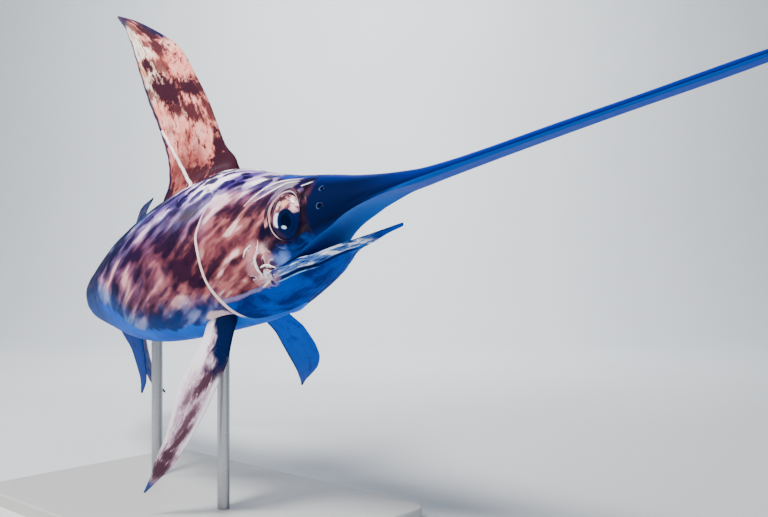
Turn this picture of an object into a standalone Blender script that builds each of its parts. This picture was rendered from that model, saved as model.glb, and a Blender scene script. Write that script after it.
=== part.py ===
"""Swordfish, a still life-size display model on a flat stand, in metres with +Z up.

Lengths along the fish are shares of its lower-jaw fork length, counted back from the tip of the lower jaw.
The head points along +X and is raised and banked. The body bends to the fish's left towards the tail.
"""

import math

import bmesh
import bpy
import numpy as np

FORK_LENGTH = 1.75
CLEARANCE = 0.0003
GAP = CLEARANCE / FORK_LENGTH
WALL_GAP = 1.6 * GAP
BILL_TIP = -0.46
BILL_ROOT = -0.03
MOUTH_CORNER = 0.1535
TORSO_JOINT = 0.50
PEDUNCLE_JOINT = 0.80
TAIL_ROOT = 1.012
SIDE_STEPS = 3
BACK_STEPS = 14
BELLY_STEPS = 9
SQUARENESS = 0.92
HEAD_UP = (0.232, 0.084, 0.969)
FISH_AT = (0.664, -0.039, 0.722)

# The middle of the wall between the head and the body: station and height.
WALL_MIDDLE = (0.235, -0.01)

# Height of the back and the belly, half width, height of the widest line, and the line of the mouth.
BACK = (
    (-0.46, -0.0062), (-0.38, -0.0020), (-0.286, 0.0001), (-0.206, 0.0027), (-0.115, 0.0048),
    (-0.052, 0.0088), (-0.012, 0.0155), (0.042, 0.0284), (0.086, 0.0422), (0.131, 0.055), (0.179, 0.073),
    (0.22, 0.090), (0.25, 0.0965), (0.30, 0.0965), (0.36, 0.093), (0.42, 0.085), (0.50, 0.074), (0.60, 0.058),
    (0.70, 0.0435), (0.80, 0.0315), (0.88, 0.0225), (0.93, 0.0175), (0.965, 0.0145), (1.02, 0.0150),
)
BELLY = (
    (-0.46, -0.0100), (-0.38, -0.0122), (-0.25, -0.0098), (-0.12, -0.0084), (-0.05, -0.0090),
    (-0.03, -0.0126), (0.0, -0.0405), (0.03, -0.0430), (0.063, -0.0475), (0.083, -0.0520), (0.096, -0.0580),
    (0.113, -0.0680), (0.153, -0.0830), (0.189, -0.0930), (0.24, -0.0985), (0.30, -0.0975), (0.36, -0.0955),
    (0.45, -0.0905), (0.55, -0.079), (0.65, -0.062), (0.75, -0.0445), (0.82, -0.0325), (0.88, -0.0235),
    (0.93, -0.0175), (0.965, -0.0145), (1.02, -0.0150),
)
HALF_WIDTH = (
    (-0.46, 0.0028), (-0.45, 0.0062), (-0.38, 0.0134), (-0.25, 0.0147), (-0.12, 0.0180), (-0.05, 0.0202),
    (-0.008, 0.0256), (0.016, 0.0278), (0.036, 0.0302), (0.08, 0.0395), (0.12, 0.0470), (0.16, 0.0545),
    (0.20, 0.061), (0.24, 0.067), (0.30, 0.073), (0.36, 0.0755), (0.45, 0.072), (0.55, 0.061), (0.65, 0.0465),
    (0.75, 0.033), (0.82, 0.025), (0.88, 0.019), (0.93, 0.0145), (0.97, 0.0115), (1.02, 0.0055),
)
WIDEST = (
    (-0.46, -0.0080), (-0.38, -0.0075), (-0.25, -0.0050), (-0.12, -0.0028), (-0.05, -0.0018), (0.0, -0.0030),
    (0.036, -0.0060), (0.08, -0.0110), (0.155, -0.016), (0.24, -0.008), (0.36, -0.004), (0.50, -0.002),
    (0.70, 0.0), (1.02, 0.0),
)
MOUTH_LINE = (
    (-0.46, -0.0090), (-0.38, -0.0098), (-0.25, -0.0075), (-0.12, -0.0062), (-0.05, -0.0063),
    (-0.008, -0.0050), (0.016, -0.0068), (0.036, -0.0092), (0.09, -0.0232), (0.1535, -0.0463), (0.25, -0.050),
    (0.50, -0.042), (0.80, -0.016), (1.02, -0.007),
)
# How far the edges of the upper jaw are drawn in under the head.
TUCK = ((-0.46, 0.0), (0.02, 0.0), (0.05, 0.09), (0.08, 0.28), (0.11, 0.20), (0.1535, 0.0), (1.02, 0.0))
JAW_TOP = ((0.0, -0.0368), (0.04, -0.0377), (0.076, -0.0390), (0.12, -0.0438), (0.16, -0.0480))
JAW_HALF_WIDTH = (
    (0.0, 0.0014), (0.03, 0.0042), (0.06, 0.0105), (0.076, 0.0170), (0.10, 0.0275), (0.13, 0.0395),
    (0.16, 0.0475),
)
KEEL = ((0.80, 0.0), (0.86, 0.0), (0.91, 0.0060), (0.95, 0.0110), (0.99, 0.0120), (1.02, 0.0060))

# Where the gill cover ends, by the elevation in degrees round the section, and how proud it stands.
GILL_EDGE = (
    (-90, 0.165), (-78, 0.195), (-64, 0.2335), (-38, 0.2500), (-10, 0.2575), (9, 0.2574), (22, 0.2460),
    (35, 0.2302), (60, 0.219), (90, 0.214),
)
GILL_PROUD = 0.0022
# The fold in front of the gill cover, by elevation, and two raised lines over the eye.
FOLD = ((-44, 0.1970), (-25, 0.2022), (-8, 0.2035), (10, 0.2018), (26, 0.1975))
BROW_NEAR = ((46, 0.165), (54, 0.142), (66, 0.118), (76, 0.102), (84, 0.093))
BROW_FAR = ((50, 0.184), (60, 0.158), (72, 0.130), (82, 0.113), (86, 0.106))
FOLD_RADIUS = 0.0012
FOLD_LIFT = 0.3 * FOLD_RADIUS
BROW_RADIUS = 0.0013
BROW_SINK = 0.35 * BROW_RADIUS
# The lips: a band on the lower jaw with a groove under it, and a ridge on the edge of the upper jaw.
LIP_BAND = 0.0105
LIP_PROUD = 0.0018
LIP_FADE = (0.012, 0.05)
LIP_GROOVE = 0.0012
GROOVE_BELOW = 1.2 * LIP_BAND
GROOVE_WIDTH = 0.0016
UPPER_LIP_PROUD = 0.0009
# Turns round the lower jaw's section, close together over the lip and wider under the chin.
LIP_TURNS = (0.0, 0.05, 0.14, 0.23, 0.30, 0.36, 0.44)
CHIN_TURN = 0.62
JAW_FLOOR_SAG = 0.10
GILL_FADE = ((-90, 0.6), (-60, 1.0), (25, 1.0), (45, 0.25), (60, 0.0), (90, 0.0))

# The spine's turn to the left, its climb and its twist in degrees.
YAW = ((-0.6, 0.0), (0.28, 0.0), (0.50, 15.4), (0.72, 19.4), (1.0, 60.2), (1.3, 60.2))
CLIMB = ((-0.6, 0.0), (0.28, 0.0), (0.60, 5.3), (1.0, 2.2), (1.3, 2.2))
TWIST = ((-0.6, 0.0), (0.28, 0.0), (0.60, 5.8), (1.0, -10.1), (1.3, -10.1))

# Fin outlines from root to tip: share of the span, station along the fish, height.
DORSAL_FRONT = (
    (0, 0.232, 0.078), (0.08, 0.236, 0.104), (0.2, 0.255, 0.130), (0.35, 0.268, 0.189),
    (0.5, 0.280, 0.234), (0.65, 0.293, 0.273), (0.78, 0.316, 0.301), (0.86, 0.335, 0.317),
    (0.94, 0.371, 0.343), (1, 0.405, 0.3615),
)
DORSAL_REAR = (
    (0, 0.410, 0.072), (0.08, 0.402, 0.092), (0.2, 0.3745, 0.117), (0.35, 0.3655, 0.150),
    (0.5, 0.370, 0.189), (0.65, 0.380, 0.230), (0.78, 0.3865, 0.278), (0.86, 0.389, 0.305),
    (0.94, 0.394, 0.335), (1, 0.408, 0.3605),
)
ANAL_FRONT = (
    (0, 0.605, -0.050), (0.15, 0.612, -0.070), (0.45, 0.630, -0.112), (0.75, 0.652, -0.148),
    (1, 0.686, -0.170),
)
ANAL_REAR = (
    (0, 0.722, -0.034), (0.15, 0.712, -0.058), (0.45, 0.679, -0.100), (0.75, 0.676, -0.140),
    (1, 0.690, -0.1685),
)
TAIL_FRONT = (
    (0, 0.975, 0.0004), (0.08, 0.985, 0.0140), (0.2, 0.993, 0.040), (0.4, 1.008, 0.088), (0.6, 1.030, 0.135),
    (0.8, 1.062, 0.176), (1, 1.120, 0.203),
)
TAIL_REAR = (
    (0, 1.034, 0.0004), (0.08, 1.034, 0.0120), (0.2, 1.036, 0.036), (0.4, 1.046, 0.082), (0.6, 1.061, 0.128),
    (0.8, 1.084, 0.168), (1, 1.123, 0.2015),
)
SMALL_FRONT = ((0, 0.900, 0.010), (0.3, 0.905, 0.022), (0.7, 0.916, 0.033), (1, 0.930, 0.040))
SMALL_REAR = ((0, 0.936, 0.008), (0.3, 0.930, 0.020), (0.7, 0.929, 0.031), (1, 0.932, 0.039))
RIGHT_PECTORAL_FRONT = (
    (0, -0.006, -0.018), (0.1, -0.011, 0.006), (0.25, -0.011, 0.040), (0.4, -0.002, 0.072),
    (0.55, 0.011, 0.103), (0.7, 0.030, 0.134), (0.84, 0.056, 0.164), (0.92, 0.074, 0.176), (1, 0.096, 0.190),
)
RIGHT_PECTORAL_REAR = (
    (0, 0.044, -0.018), (0.1, 0.047, 0.006), (0.25, 0.053, 0.036), (0.4, 0.0575, 0.064),
    (0.55, 0.0605, 0.096), (0.7, 0.068, 0.128), (0.84, 0.081, 0.152), (0.92, 0.086, 0.168),
    (1, 0.0985, 0.189),
)
LEFT_PECTORAL_FRONT = (
    (0, -0.004, -0.018), (0.1, -0.012, 0.006), (0.25, -0.0285, 0.045), (0.4, -0.031, 0.080),
    (0.55, -0.026, 0.115), (0.7, -0.008, 0.149), (0.84, 0.024, 0.178), (0.92, 0.042, 0.193),
    (1, 0.0605, 0.2135),
)
LEFT_PECTORAL_REAR = (
    (0, 0.040, -0.018), (0.1, 0.032, 0.006), (0.25, 0.0245, 0.040), (0.4, 0.026, 0.072), (0.55, 0.030, 0.110),
    (0.7, 0.037, 0.148), (0.84, 0.046, 0.175), (0.92, 0.053, 0.193), (1, 0.063, 0.2125),
)
# Each paired fin: its root, the way it hangs, and its chord at the root and further out.
PECTORAL_RIGHT = ((-0.260, -0.0420, -0.0900), (-0.35, -0.30, -0.88), (-1.0, 0.0, 0.0), (-0.90, -0.35, 0.0))
PECTORAL_LEFT = ((-0.264, 0.0440, -0.0870), (-0.48, 0.62, -0.62), (-1.0, 0.0, 0.0), (-1.0, 0.0, 0.0))
CHORD_TURN = 0.09
CUP = 0.9
# How thick a fin's edges are beside its middle, how far a ray stands up, and the least half thickness.
EDGE_SHARE = 0.35
RAY_HEIGHT = 0.00045
THIN_HALF = 0.00018

EYE_AT = (0.1229, 0.0054)
EYE_RADII = (0.0212, 0.0265)
EYE_BULGE = 0.0075
EYE_DEPTH = 0.0200
EYE_SUNK = 0.0025
ORBIT_RIM = 0.0016
ORBIT_MARGIN = 0.0012
ORBIT_SUNK = 0.0004
# Each nostril: station, height and radius, and its share of that radius along, up and into the head.
NOSTRILS = ((0.0800, 0.0215, 0.0022), (0.0815, 0.0085, 0.0028))
NOSTRIL_FORM = (1.0, 0.6, 1.1)

BASE_SIZE = (0.95, 0.60, 0.03)
ROD_RADIUS = 0.014
ROD_SOCKET = 0.03
ROD_STATIONS = (0.33, 0.54)
SOCKET_START = 0.13


def smooth_table(points):
    """A monotone cubic through rows of (position, value, ...)."""
    rows = np.array(points, float)
    x, y = rows[:, 0], rows[:, 1:]
    step = np.diff(x)[:, None]
    slope = np.diff(y, axis=0) / step
    tangent = np.zeros_like(y)
    before, after = 2 * step[1:] + step[:-1], step[1:] + 2 * step[:-1]
    same = slope[:-1] * slope[1:] > 0
    safe = np.where(same, slope[:-1], 1.0), np.where(same, slope[1:], 1.0)
    tangent[1:-1] = np.where(same, (before + after) / (before / safe[0] + after / safe[1]), 0.0)
    tangent[0], tangent[-1] = slope[0], slope[-1]

    def value(t):
        t = np.clip(np.asarray(t, float), x[0], x[-1])
        i = np.clip(np.searchsorted(x, t, side="right") - 1, 0, len(x) - 2)
        h = (x[i + 1] - x[i])[..., None]
        u = ((t - x[i]) / (x[i + 1] - x[i]))[..., None]
        result = (1 + 2 * u) * (1 - u) ** 2 * y[i] + u * (1 - u) ** 2 * h * tangent[i]
        result = result + u * u * (3 - 2 * u) * y[i + 1] + u * u * (u - 1) * h * tangent[i + 1]
        return result[..., 0] if result.shape[-1] == 1 else result

    return value


back, belly, half_width = map(smooth_table, (BACK, BELLY, HALF_WIDTH))
widest, mouth_line, tuck = map(smooth_table, (WIDEST, MOUTH_LINE, TUCK))
jaw_top, jaw_half_width, keel = map(smooth_table, (JAW_TOP, JAW_HALF_WIDTH, KEEL))
gill_edge, gill_fade = smooth_table(GILL_EDGE), smooth_table(GILL_FADE)


def step(low, high, value):
    """From 0 at low to 1 at high, smoothly."""
    t = np.clip((value - low) / (high - low), 0, 1)
    return t * t * (3 - 2 * t)


def drawn_in(s, z):
    """The share of the half width that is left at a height under the widest line of the upper jaw."""
    depth = np.clip((widest(s) - z) / np.maximum(widest(s) - mouth_line(s), 1e-6), 0, 1)
    return 1 - tuck(s) * depth ** 1.5


def spine_frames():
    """Stations, points and the left and up directions of the bent spine, in the head's own axes."""
    s = np.linspace(-0.6, 1.3, 951)
    yaw, climb, twist = (np.radians(smooth_table(table)(s)) for table in (YAW, CLIMB, TWIST))
    behind = np.stack([-np.cos(climb) * np.cos(yaw), np.cos(climb) * np.sin(yaw), np.sin(climb)], 1)
    flat_left = np.stack([np.sin(yaw), np.cos(yaw), 0 * yaw], 1)
    flat_up = np.cross(flat_left, behind)
    flat_up *= np.sign(flat_up[:, 2:3])
    c, d = np.cos(twist)[:, None], np.sin(twist)[:, None]
    left, up = c * flat_left + d * flat_up, c * flat_up - d * flat_left
    points = np.concatenate([np.zeros((1, 3)), np.cumsum((behind[1:] + behind[:-1]) / 2 * (s[1] - s[0]), 0)])
    return s, points - points[np.argmin(abs(s))], left, up


SPINE_S, SPINE_POINTS, SPINE_LEFT, SPINE_UP = spine_frames()


def along(values, s):
    return np.stack([np.interp(s, SPINE_S, values[:, i]) for i in range(3)], -1)


def place(s, side, z):
    """Head-frame points at a station, a distance to the left and a height above the spine."""
    s, side, z = np.broadcast_arrays(np.asarray(s, float), side, z)
    return along(SPINE_POINTS, s) + side[..., None] * along(SPINE_LEFT, s) + z[..., None] * along(SPINE_UP, s)


def world_axes():
    up = np.array(HEAD_UP) / np.linalg.norm(HEAD_UP)
    forward = np.array((1.0, 0.0, 0.0)) - up * up[0]
    forward /= np.linalg.norm(forward)
    return np.stack([forward, np.cross(up, forward), up])


WORLD_AXES = world_axes()


def world(points):
    return np.asarray(points) @ WORLD_AXES.T * FORK_LENGTH + np.array(FISH_AT)


def side_at(s, z):
    """Half width of the body at a station and a height."""
    top, bottom, wide, mid = back(s), belly(s), half_width(s), widest(s)
    share = np.where(z > mid, (z - mid) / (top - mid), (mid - z) / (mid - bottom))
    angle = np.arcsin(np.clip(share, 0, 1) ** (1 / SQUARENESS))
    return wide * np.cos(angle) ** SQUARENESS * drawn_in(s, z)


def mouth_angle(s):
    share = np.clip((widest(s) - mouth_line(s)) / (widest(s) - belly(s)), 0.02, 0.98)
    return np.arcsin(share ** (1 / SQUARENESS))


def ring_angles(s):
    low = float(mouth_angle(s))
    return np.concatenate([
        np.linspace(-low, 0, SIDE_STEPS, endpoint=False),
        np.linspace(0, np.pi, BACK_STEPS, endpoint=False),
        np.linspace(np.pi, np.pi + low, SIDE_STEPS + 1),
        np.linspace(np.pi + low, 2 * np.pi - low, BELLY_STEPS + 2)[1:-1],
    ])


def ring(s, angles, clipped=False, proud=0.0):
    """One section through the body. A clipped one is closed straight across at the line of the mouth."""
    top, bottom, wide, mid = back(s), belly(s), half_width(s), widest(s)
    c, d = np.cos(angles), np.sin(angles)
    side = wide * np.sign(c) * abs(c) ** SQUARENESS
    z = np.where(d > 0, mid + (top - mid) * abs(d) ** SQUARENESS, mid - (mid - bottom) * abs(d) ** SQUARENESS)
    side = side * drawn_in(s, z) + keel(s) * np.sign(c) * (abs(d) < 1e-6)
    side, z = side + proud * c, z + proud * d
    if clipped:
        last = BACK_STEPS + 2 * SIDE_STEPS
        lip = UPPER_LIP_PROUD * step(0.0, 0.03, s)
        side[[0, 1, last - 1, last]] += np.array((1, 0.5, -0.5, -1)) * lip
        share = np.linspace(0, 1, BELLY_STEPS + 2)[1:-1]
        side, z = side.copy(), z.copy()
        side[last + 1:] = side[last] + (side[0] - side[last]) * share
        z[last + 1:] = z[last]
    return place(s, side, z)


def loft(rings, front_tip=None, rear_tip=None):
    """A closed skin over rings of equal count. Each end is one flat face, or a fan round its tip."""
    count = len(rings[0])
    points = np.concatenate(rings)
    faces = []
    for i in range(len(rings) - 1):
        for j in range(count):
            k = (j + 1) % count
            a, b, c, d = i * count + j, i * count + k, (i + 1) * count + k, (i + 1) * count + j
            faces += [(a, b, c), (a, c, d)]
    for tip, first in ((front_tip, 0), (rear_tip, (len(rings) - 1) * count)):
        if tip is None:
            faces.append(tuple(first + j for j in range(count)))
            continue
        centre = len(points)
        points = np.concatenate([points, np.reshape(tip, (1, 3))])
        faces += [(first + j, first + (j + 1) % count, centre) for j in range(count)]
    return points, faces


def elevation(angles):
    return np.degrees(np.arcsin(np.clip(np.sin(angles), -1, 1)))


def bill_shape():
    stations = np.concatenate([[-0.46, -0.455, -0.445], np.linspace(-0.42, BILL_ROOT - GAP, 12)])
    return loft([ring(s, ring_angles(s), clipped=True) for s in stations])


def head_shape():
    rings = [ring(s, ring_angles(s), clipped=True) for s in np.linspace(BILL_ROOT, MOUTH_CORNER, 15)]
    angles = ring_angles(WALL_MIDDLE[0])
    start = MOUTH_CORNER + 0.001
    ends = gill_edge(elevation(angles))
    for t in np.linspace(0, 1, 8):
        s = start + (ends - start) * t
        proud = GILL_PROUD * gill_fade(elevation(angles)) * step(0, 1, t)
        rings.append(ring(s, angles * t + ring_angles(start) * (1 - t), proud=proud))
    rings.append(ring(ends, angles))
    return loft(rings, rear_tip=place(WALL_MIDDLE[0], 0.0, WALL_MIDDLE[1]))


def jaw_shape():
    stations = np.concatenate([[0.0, 0.008], np.linspace(0.02, MOUTH_CORNER - 3 * GAP, 13)])
    lip_turns = np.array(LIP_TURNS)
    turn = np.concatenate([lip_turns, np.linspace(CHIN_TURN, np.pi - CHIN_TURN, 9), np.pi - lip_turns[::-1]])
    rings = []
    for s in stations:
        wide, top, bottom = jaw_half_width(s), jaw_top(s), belly(s)
        side = wide * np.sign(np.cos(turn)) * abs(np.cos(turn)) ** SQUARENESS
        z = top - (top - bottom) * np.sin(turn) ** SQUARENESS
        below = top - z
        band = step(0, 0.002, below) * step(LIP_BAND, 0.8 * LIP_BAND, below) * LIP_PROUD
        groove = np.exp(-(((below - GROOVE_BELOW) / GROOVE_WIDTH) ** 2)) * LIP_GROOVE
        proud = (band - groove) * step(*LIP_FADE, s)
        side, z = side + proud * np.cos(turn), z - proud * np.sin(turn)
        lid = np.linspace(-1, 1, 7)[1:-1] * wide
        floor = place(s, lid, top - JAW_FLOOR_SAG * (wide - abs(lid)))
        rings.append(np.concatenate([place(s, side, z), floor]))
    return loft(rings)


def torso_front_shape():
    angles = ring_angles(WALL_MIDDLE[0])
    first = gill_edge(elevation(angles)) + WALL_GAP
    rings = []
    for t in np.linspace(0, 1, 10):
        s = first + (TORSO_JOINT - GAP - first) * t
        rings.append(ring(s, angles * (1 - t) + ring_angles(TORSO_JOINT) * t))
    return loft(rings, front_tip=place(WALL_MIDDLE[0] + WALL_GAP, 0.0, WALL_MIDDLE[1]))


def tube_body(first, last, count):
    return loft([ring(s, ring_angles(s)) for s in np.linspace(first, last, count)])


def median(s, z, side):
    """The frame of a fin on the fish's middle plane."""
    return place(s, side, z)


def unit(vectors):
    vectors = np.array(vectors, float)
    return vectors / np.linalg.norm(vectors, axis=-1, keepdims=True)


def paddle(origin, span, root_chord, outer_chord):
    """The frame of a paired fin: a distance along its chord, one along its span, and one through it."""
    origin, span = np.array(origin), unit(span)
    root_chord, outer_chord = unit(root_chord), unit(outer_chord)
    across = unit(np.cross(span, root_chord))

    def frame(a, b, side):
        a, b, side = (np.asarray(v, float)[..., None] for v in (a, b, side))
        turn = step(0, CHORD_TURN, b)
        chord = unit(root_chord * (1 - turn) + outer_chord * turn)
        through = unit(np.cross(span, chord))
        return origin + a * chord + b * span + side * through + CUP * np.clip(b, 0, 1) ** 2 * across

    return frame


def grown(front_line, rear_line, grow):
    """The two edges of a fin moved apart, and its root row moved away from the tip."""
    chord = unit(rear_line - front_line)
    front_line, rear_line = front_line - grow * chord, rear_line + grow * chord
    inward = front_line[0] - front_line[1]
    inward = grow * unit(inward - chord[0] * (inward @ chord[0]))
    front_line[0] += inward
    rear_line[0] += inward
    return front_line, rear_line


def fin_shape(front, rear, frame, spans, rays, thick, grow=0.0):
    """A fin with rays raised on both faces. The two faces are split into triangles alike."""
    front, rear = smooth_table(front), smooth_table(rear)
    u = np.linspace(0, 1, spans)
    v = np.linspace(0, 1, 2 * rays + 1)
    front_line, rear_line = grown(front(u), rear(u), grow)
    outline = front_line[:, None, :] * (1 - v[None, :, None]) + rear_line[:, None, :] * v[None, :, None]
    body = np.sqrt(np.clip(1 - (2 * v - 1) ** 2, 0, 1))[None, :]
    ridge = (np.arange(2 * rays + 1) % 2)[None, :]
    half = (thick * (1 - u) ** 0.8)[:, None] * (EDGE_SHARE + (1 - EDGE_SHARE) * body)
    half = half + RAY_HEIGHT * ridge * (1 - 0.8 * u[:, None]) + THIN_HALF + grow
    sheets = [frame(outline[..., 0], outline[..., 1], sign * half).reshape(-1, 3) for sign in (1, -1)]
    columns, size = 2 * rays + 1, spans * (2 * rays + 1)
    faces = []
    for i in range(spans - 1):
        for j in range(columns - 1):
            a, d = i * columns + j, (i + 1) * columns + j
            b, c = a + 1, d + 1
            faces += [(a, b, c), (a, c, d), (size + a, size + c, size + b), (size + a, size + d, size + c)]
    border = list(range(columns))
    border += [i * columns + columns - 1 for i in range(1, spans)]
    border += [(spans - 1) * columns + j for j in range(columns - 2, -1, -1)]
    border += [i * columns for i in range(spans - 2, 0, -1)]
    for a, b in zip(border, border[1:] + border[:1]):
        faces += [(b, a, size + a), (b, size + a, size + b)]
    return np.concatenate(sheets), faces


def surface_frame(s, z, sign):
    """A point on the side of the head, with directions back along it, up along it and out of it."""
    def at(a, b):
        return place(a, sign * side_at(a, b), b)

    reach = 0.004
    rear = unit(at(s + reach, z) - at(s - reach, z))
    rise = unit(at(s, z + reach) - at(s, z - reach))
    out = unit(np.cross(rear, rise))
    out *= sign * np.sign(out[1])
    rise = np.cross(out, rear)
    return at(s, z), rear, rise * np.sign(rise[2]), out


def eye_shape(sign, grow=0.0):
    """A ball set in its socket: shallow in front, deep behind."""
    here, rear, rise, out = surface_frame(*EYE_AT, sign)
    centre = here - out * EYE_SUNK
    rows, columns = 10, 24
    points, faces = [], []
    for i in range(1, rows):
        polar = np.pi * i / rows
        turn = np.linspace(0, 2 * np.pi, columns, endpoint=False)
        depth = EYE_BULGE if np.cos(polar) > 0 else EYE_DEPTH
        ring_points = (
            centre
            + np.outer(np.cos(turn), rear) * (EYE_RADII[0] + grow) * np.sin(polar)
            + np.outer(np.sin(turn), rise) * (EYE_RADII[1] + grow) * np.sin(polar)
            + out * (depth + grow) * np.cos(polar)
        )
        points.append(ring_points)
    front = centre + out * (EYE_BULGE + grow)
    rear_point = centre - out * (EYE_DEPTH + grow)
    return loft(points, front_tip=front, rear_tip=rear_point)


def surface_path(table, sign, count):
    """Points on the head along a table of elevation and station, with the way out of the skin at each."""
    rise = np.linspace(table[0][0], table[-1][0], count)
    angle = np.radians(rise if sign > 0 else 180 - rise)
    s = smooth_table(table)(rise)
    points = np.concatenate([ring(a, np.array([b])) for a, b in zip(s, angle)])
    outer = np.concatenate([ring(a, np.array([b]), proud=0.01) for a, b in zip(s, angle)])
    return points, unit(outer - points)


def bead_shape(path, out, radius, sides=6):
    """A thin closed rod along an open path."""
    ahead = unit(np.gradient(path, axis=0))
    third = np.cross(ahead, out)
    turn = np.linspace(0, 2 * np.pi, sides, endpoint=False)
    rings = []
    for i, point in enumerate(path):
        size = radius * (0.45 if i in (0, len(path) - 1) else 1.0)
        rings.append(point + size * (np.outer(np.cos(turn), out[i]) + np.outer(np.sin(turn), third[i])))
    return loft(rings, path[0] - ahead[0] * radius, path[-1] + ahead[-1] * radius)


def tube_shape(path, radius, sides=8):
    """A closed ring of tube round a closed path."""
    path = np.asarray(path)
    ahead = unit(np.roll(path, -1, 0) - np.roll(path, 1, 0))
    outward = path - path.mean(0)
    outward = unit(outward - ahead * (outward * ahead).sum(1)[:, None])
    third = np.cross(ahead, outward)
    turn = np.linspace(0, 2 * np.pi, sides, endpoint=False)
    rings = path[:, None] + radius * (
        np.cos(turn)[None, :, None] * outward[:, None] + np.sin(turn)[None, :, None] * third[:, None]
    )
    count = len(path)
    faces = []
    for i in range(count):
        for j in range(sides):
            a, b = i * sides + j, i * sides + (j + 1) % sides
            c, d = ((i + 1) % count) * sides + (j + 1) % sides, ((i + 1) % count) * sides + j
            faces += [(a, b, c), (a, c, d)]
    return rings.reshape(-1, 3), faces


def orbit_rim_shape(sign):
    turn = np.linspace(0, 2 * np.pi, 36, endpoint=False)
    s = EYE_AT[0] + (EYE_RADII[0] + ORBIT_MARGIN) * np.cos(turn)
    z = EYE_AT[1] + (EYE_RADII[1] + ORBIT_MARGIN) * np.sin(turn)
    return tube_shape(place(s, sign * (side_at(s, z) - ORBIT_SUNK), z), ORBIT_RIM)


def ball_shape(centre, radii, frame, rows=8, columns=12):
    rings = []
    for i in range(1, rows):
        polar = np.pi * i / rows
        turn = np.linspace(0, 2 * np.pi, columns, endpoint=False)
        rings.append(
            centre
            + np.outer(np.cos(turn), frame[0]) * radii[0] * np.sin(polar)
            + np.outer(np.sin(turn), frame[1]) * radii[1] * np.sin(polar)
            + frame[2] * radii[2] * np.cos(polar)
        )
    return loft(rings, centre + frame[2] * radii[2], centre - frame[2] * radii[2])


def nostril_shape(s, z, radius, sign):
    here, rear, rise, out = surface_frame(s, z, sign)
    return ball_shape(here, radius * np.array(NOSTRIL_FORM), (rear, rise, out))


def rod_foot(s):
    point = world(place(s, 0.0, belly(s)))
    return float(point[0]), float(point[1]), float(point[2])


def cylinder_points(x, y, low, high, radius, sides=32):
    turn = np.linspace(0, 2 * np.pi, sides, endpoint=False)
    circle = np.stack([x + radius * np.cos(turn), y + radius * np.sin(turn)], 1)
    rings = [np.column_stack([circle, np.full(sides, z)]) for z in (low, high)]
    return loft(rings)


def slab_points(size, corner=0.04, edge=0.003):
    """A flat plate with rounded corners and a small bevel round its top."""
    length, width, height = size
    outline = []
    for cx, cy, start in ((1, 1, 0), (-1, 1, 90), (-1, -1, 180), (1, -1, 270)):
        for k in range(7):
            angle = math.radians(start + 15 * k)
            middle = (cx * (length / 2 - corner), cy * (width / 2 - corner))
            outline.append((*middle, math.cos(angle), math.sin(angle)))
    rows = np.array(outline)
    rings = []
    for inset, z in ((0.0, 0.0), (0.0, height - edge), (edge, height)):
        flat = rows[:, :2] + (corner - inset) * rows[:, 2:]
        rings.append(np.column_stack([flat, np.full(len(rows), z)]))
    return loft(rings)


def material(name, colour, roughness, metallic=0.0, coat=0.0):
    made = bpy.data.materials.new(name)
    made.use_nodes = True
    shader = next(node for node in made.node_tree.nodes if node.type == "BSDF_PRINCIPLED")
    shader.inputs["Base Color"].default_value = (*colour, 1.0)
    shader.inputs["Roughness"].default_value = roughness
    shader.inputs["Metallic"].default_value = metallic
    shader.inputs["Coat Weight"].default_value = coat
    made.diffuse_color = (*colour, 1.0)
    return made


def solid(name, shape, paint=None, scaled=False, helper=False):
    """An object from points and faces, its faces turned outwards."""
    points, faces = shape
    points = np.asarray(points) if scaled else world(points)
    mesh = bpy.data.meshes.new(name)
    mesh.from_pydata([tuple(map(float, p)) for p in points], [], faces)
    work = bmesh.new()
    work.from_mesh(mesh)
    bmesh.ops.recalc_face_normals(work, faces=work.faces)
    if work.calc_volume(signed=True) < 0:
        bmesh.ops.reverse_faces(work, faces=work.faces)
    bmesh.ops.triangulate(work, faces=[face for face in work.faces if len(face.verts) > 3])
    work.to_mesh(mesh)
    work.free()
    mesh.shade_smooth()
    obj = bpy.data.objects.new(name, mesh)
    bpy.context.scene.collection.objects.link(obj)
    if paint:
        mesh.materials.append(paint)
    if helper:
        obj.hide_render = True
        obj.display_type = "WIRE"
    return obj


def combine(obj, others, operation):
    """Joins with, or cuts by, a collection of closed helpers, which are removed afterwards."""
    group = bpy.data.collections.new("helpers")
    bpy.context.scene.collection.children.link(group)
    for other in others:
        bpy.context.scene.collection.objects.unlink(other)
        group.objects.link(other)
    modifier = obj.modifiers.new("combine", "BOOLEAN")
    modifier.operation = operation
    modifier.solver = "EXACT"
    modifier.operand_type = "COLLECTION"
    modifier.collection = group
    graph = bpy.context.evaluated_depsgraph_get()
    mesh = bpy.data.meshes.new_from_object(obj.evaluated_get(graph))
    obj.modifiers.remove(modifier)
    obj.data = mesh
    for other in others:
        bpy.data.objects.remove(other)
    bpy.data.collections.remove(group)
    obj.data.shade_smooth()


def keep_largest(obj):
    work = bmesh.new()
    work.from_mesh(obj.data)
    left = set(work.verts)
    groups = []
    while left:
        stack = [left.pop()]
        group = set(stack)
        while stack:
            for edge in stack.pop().link_edges:
                for vert in edge.verts:
                    if vert in left:
                        left.discard(vert)
                        group.add(vert)
                        stack.append(vert)
        groups.append(group)
    groups.sort(key=len)
    for group in groups[:-1]:
        bmesh.ops.delete(work, geom=list(group), context="VERTS")
    work.to_mesh(obj.data)
    work.free()


def lower(rows):
    return tuple((u, s, -z) for u, s, z in rows)


def seat(body, shape):
    combine(body, [solid("seat", shape, helper=True)], "DIFFERENCE")


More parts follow.
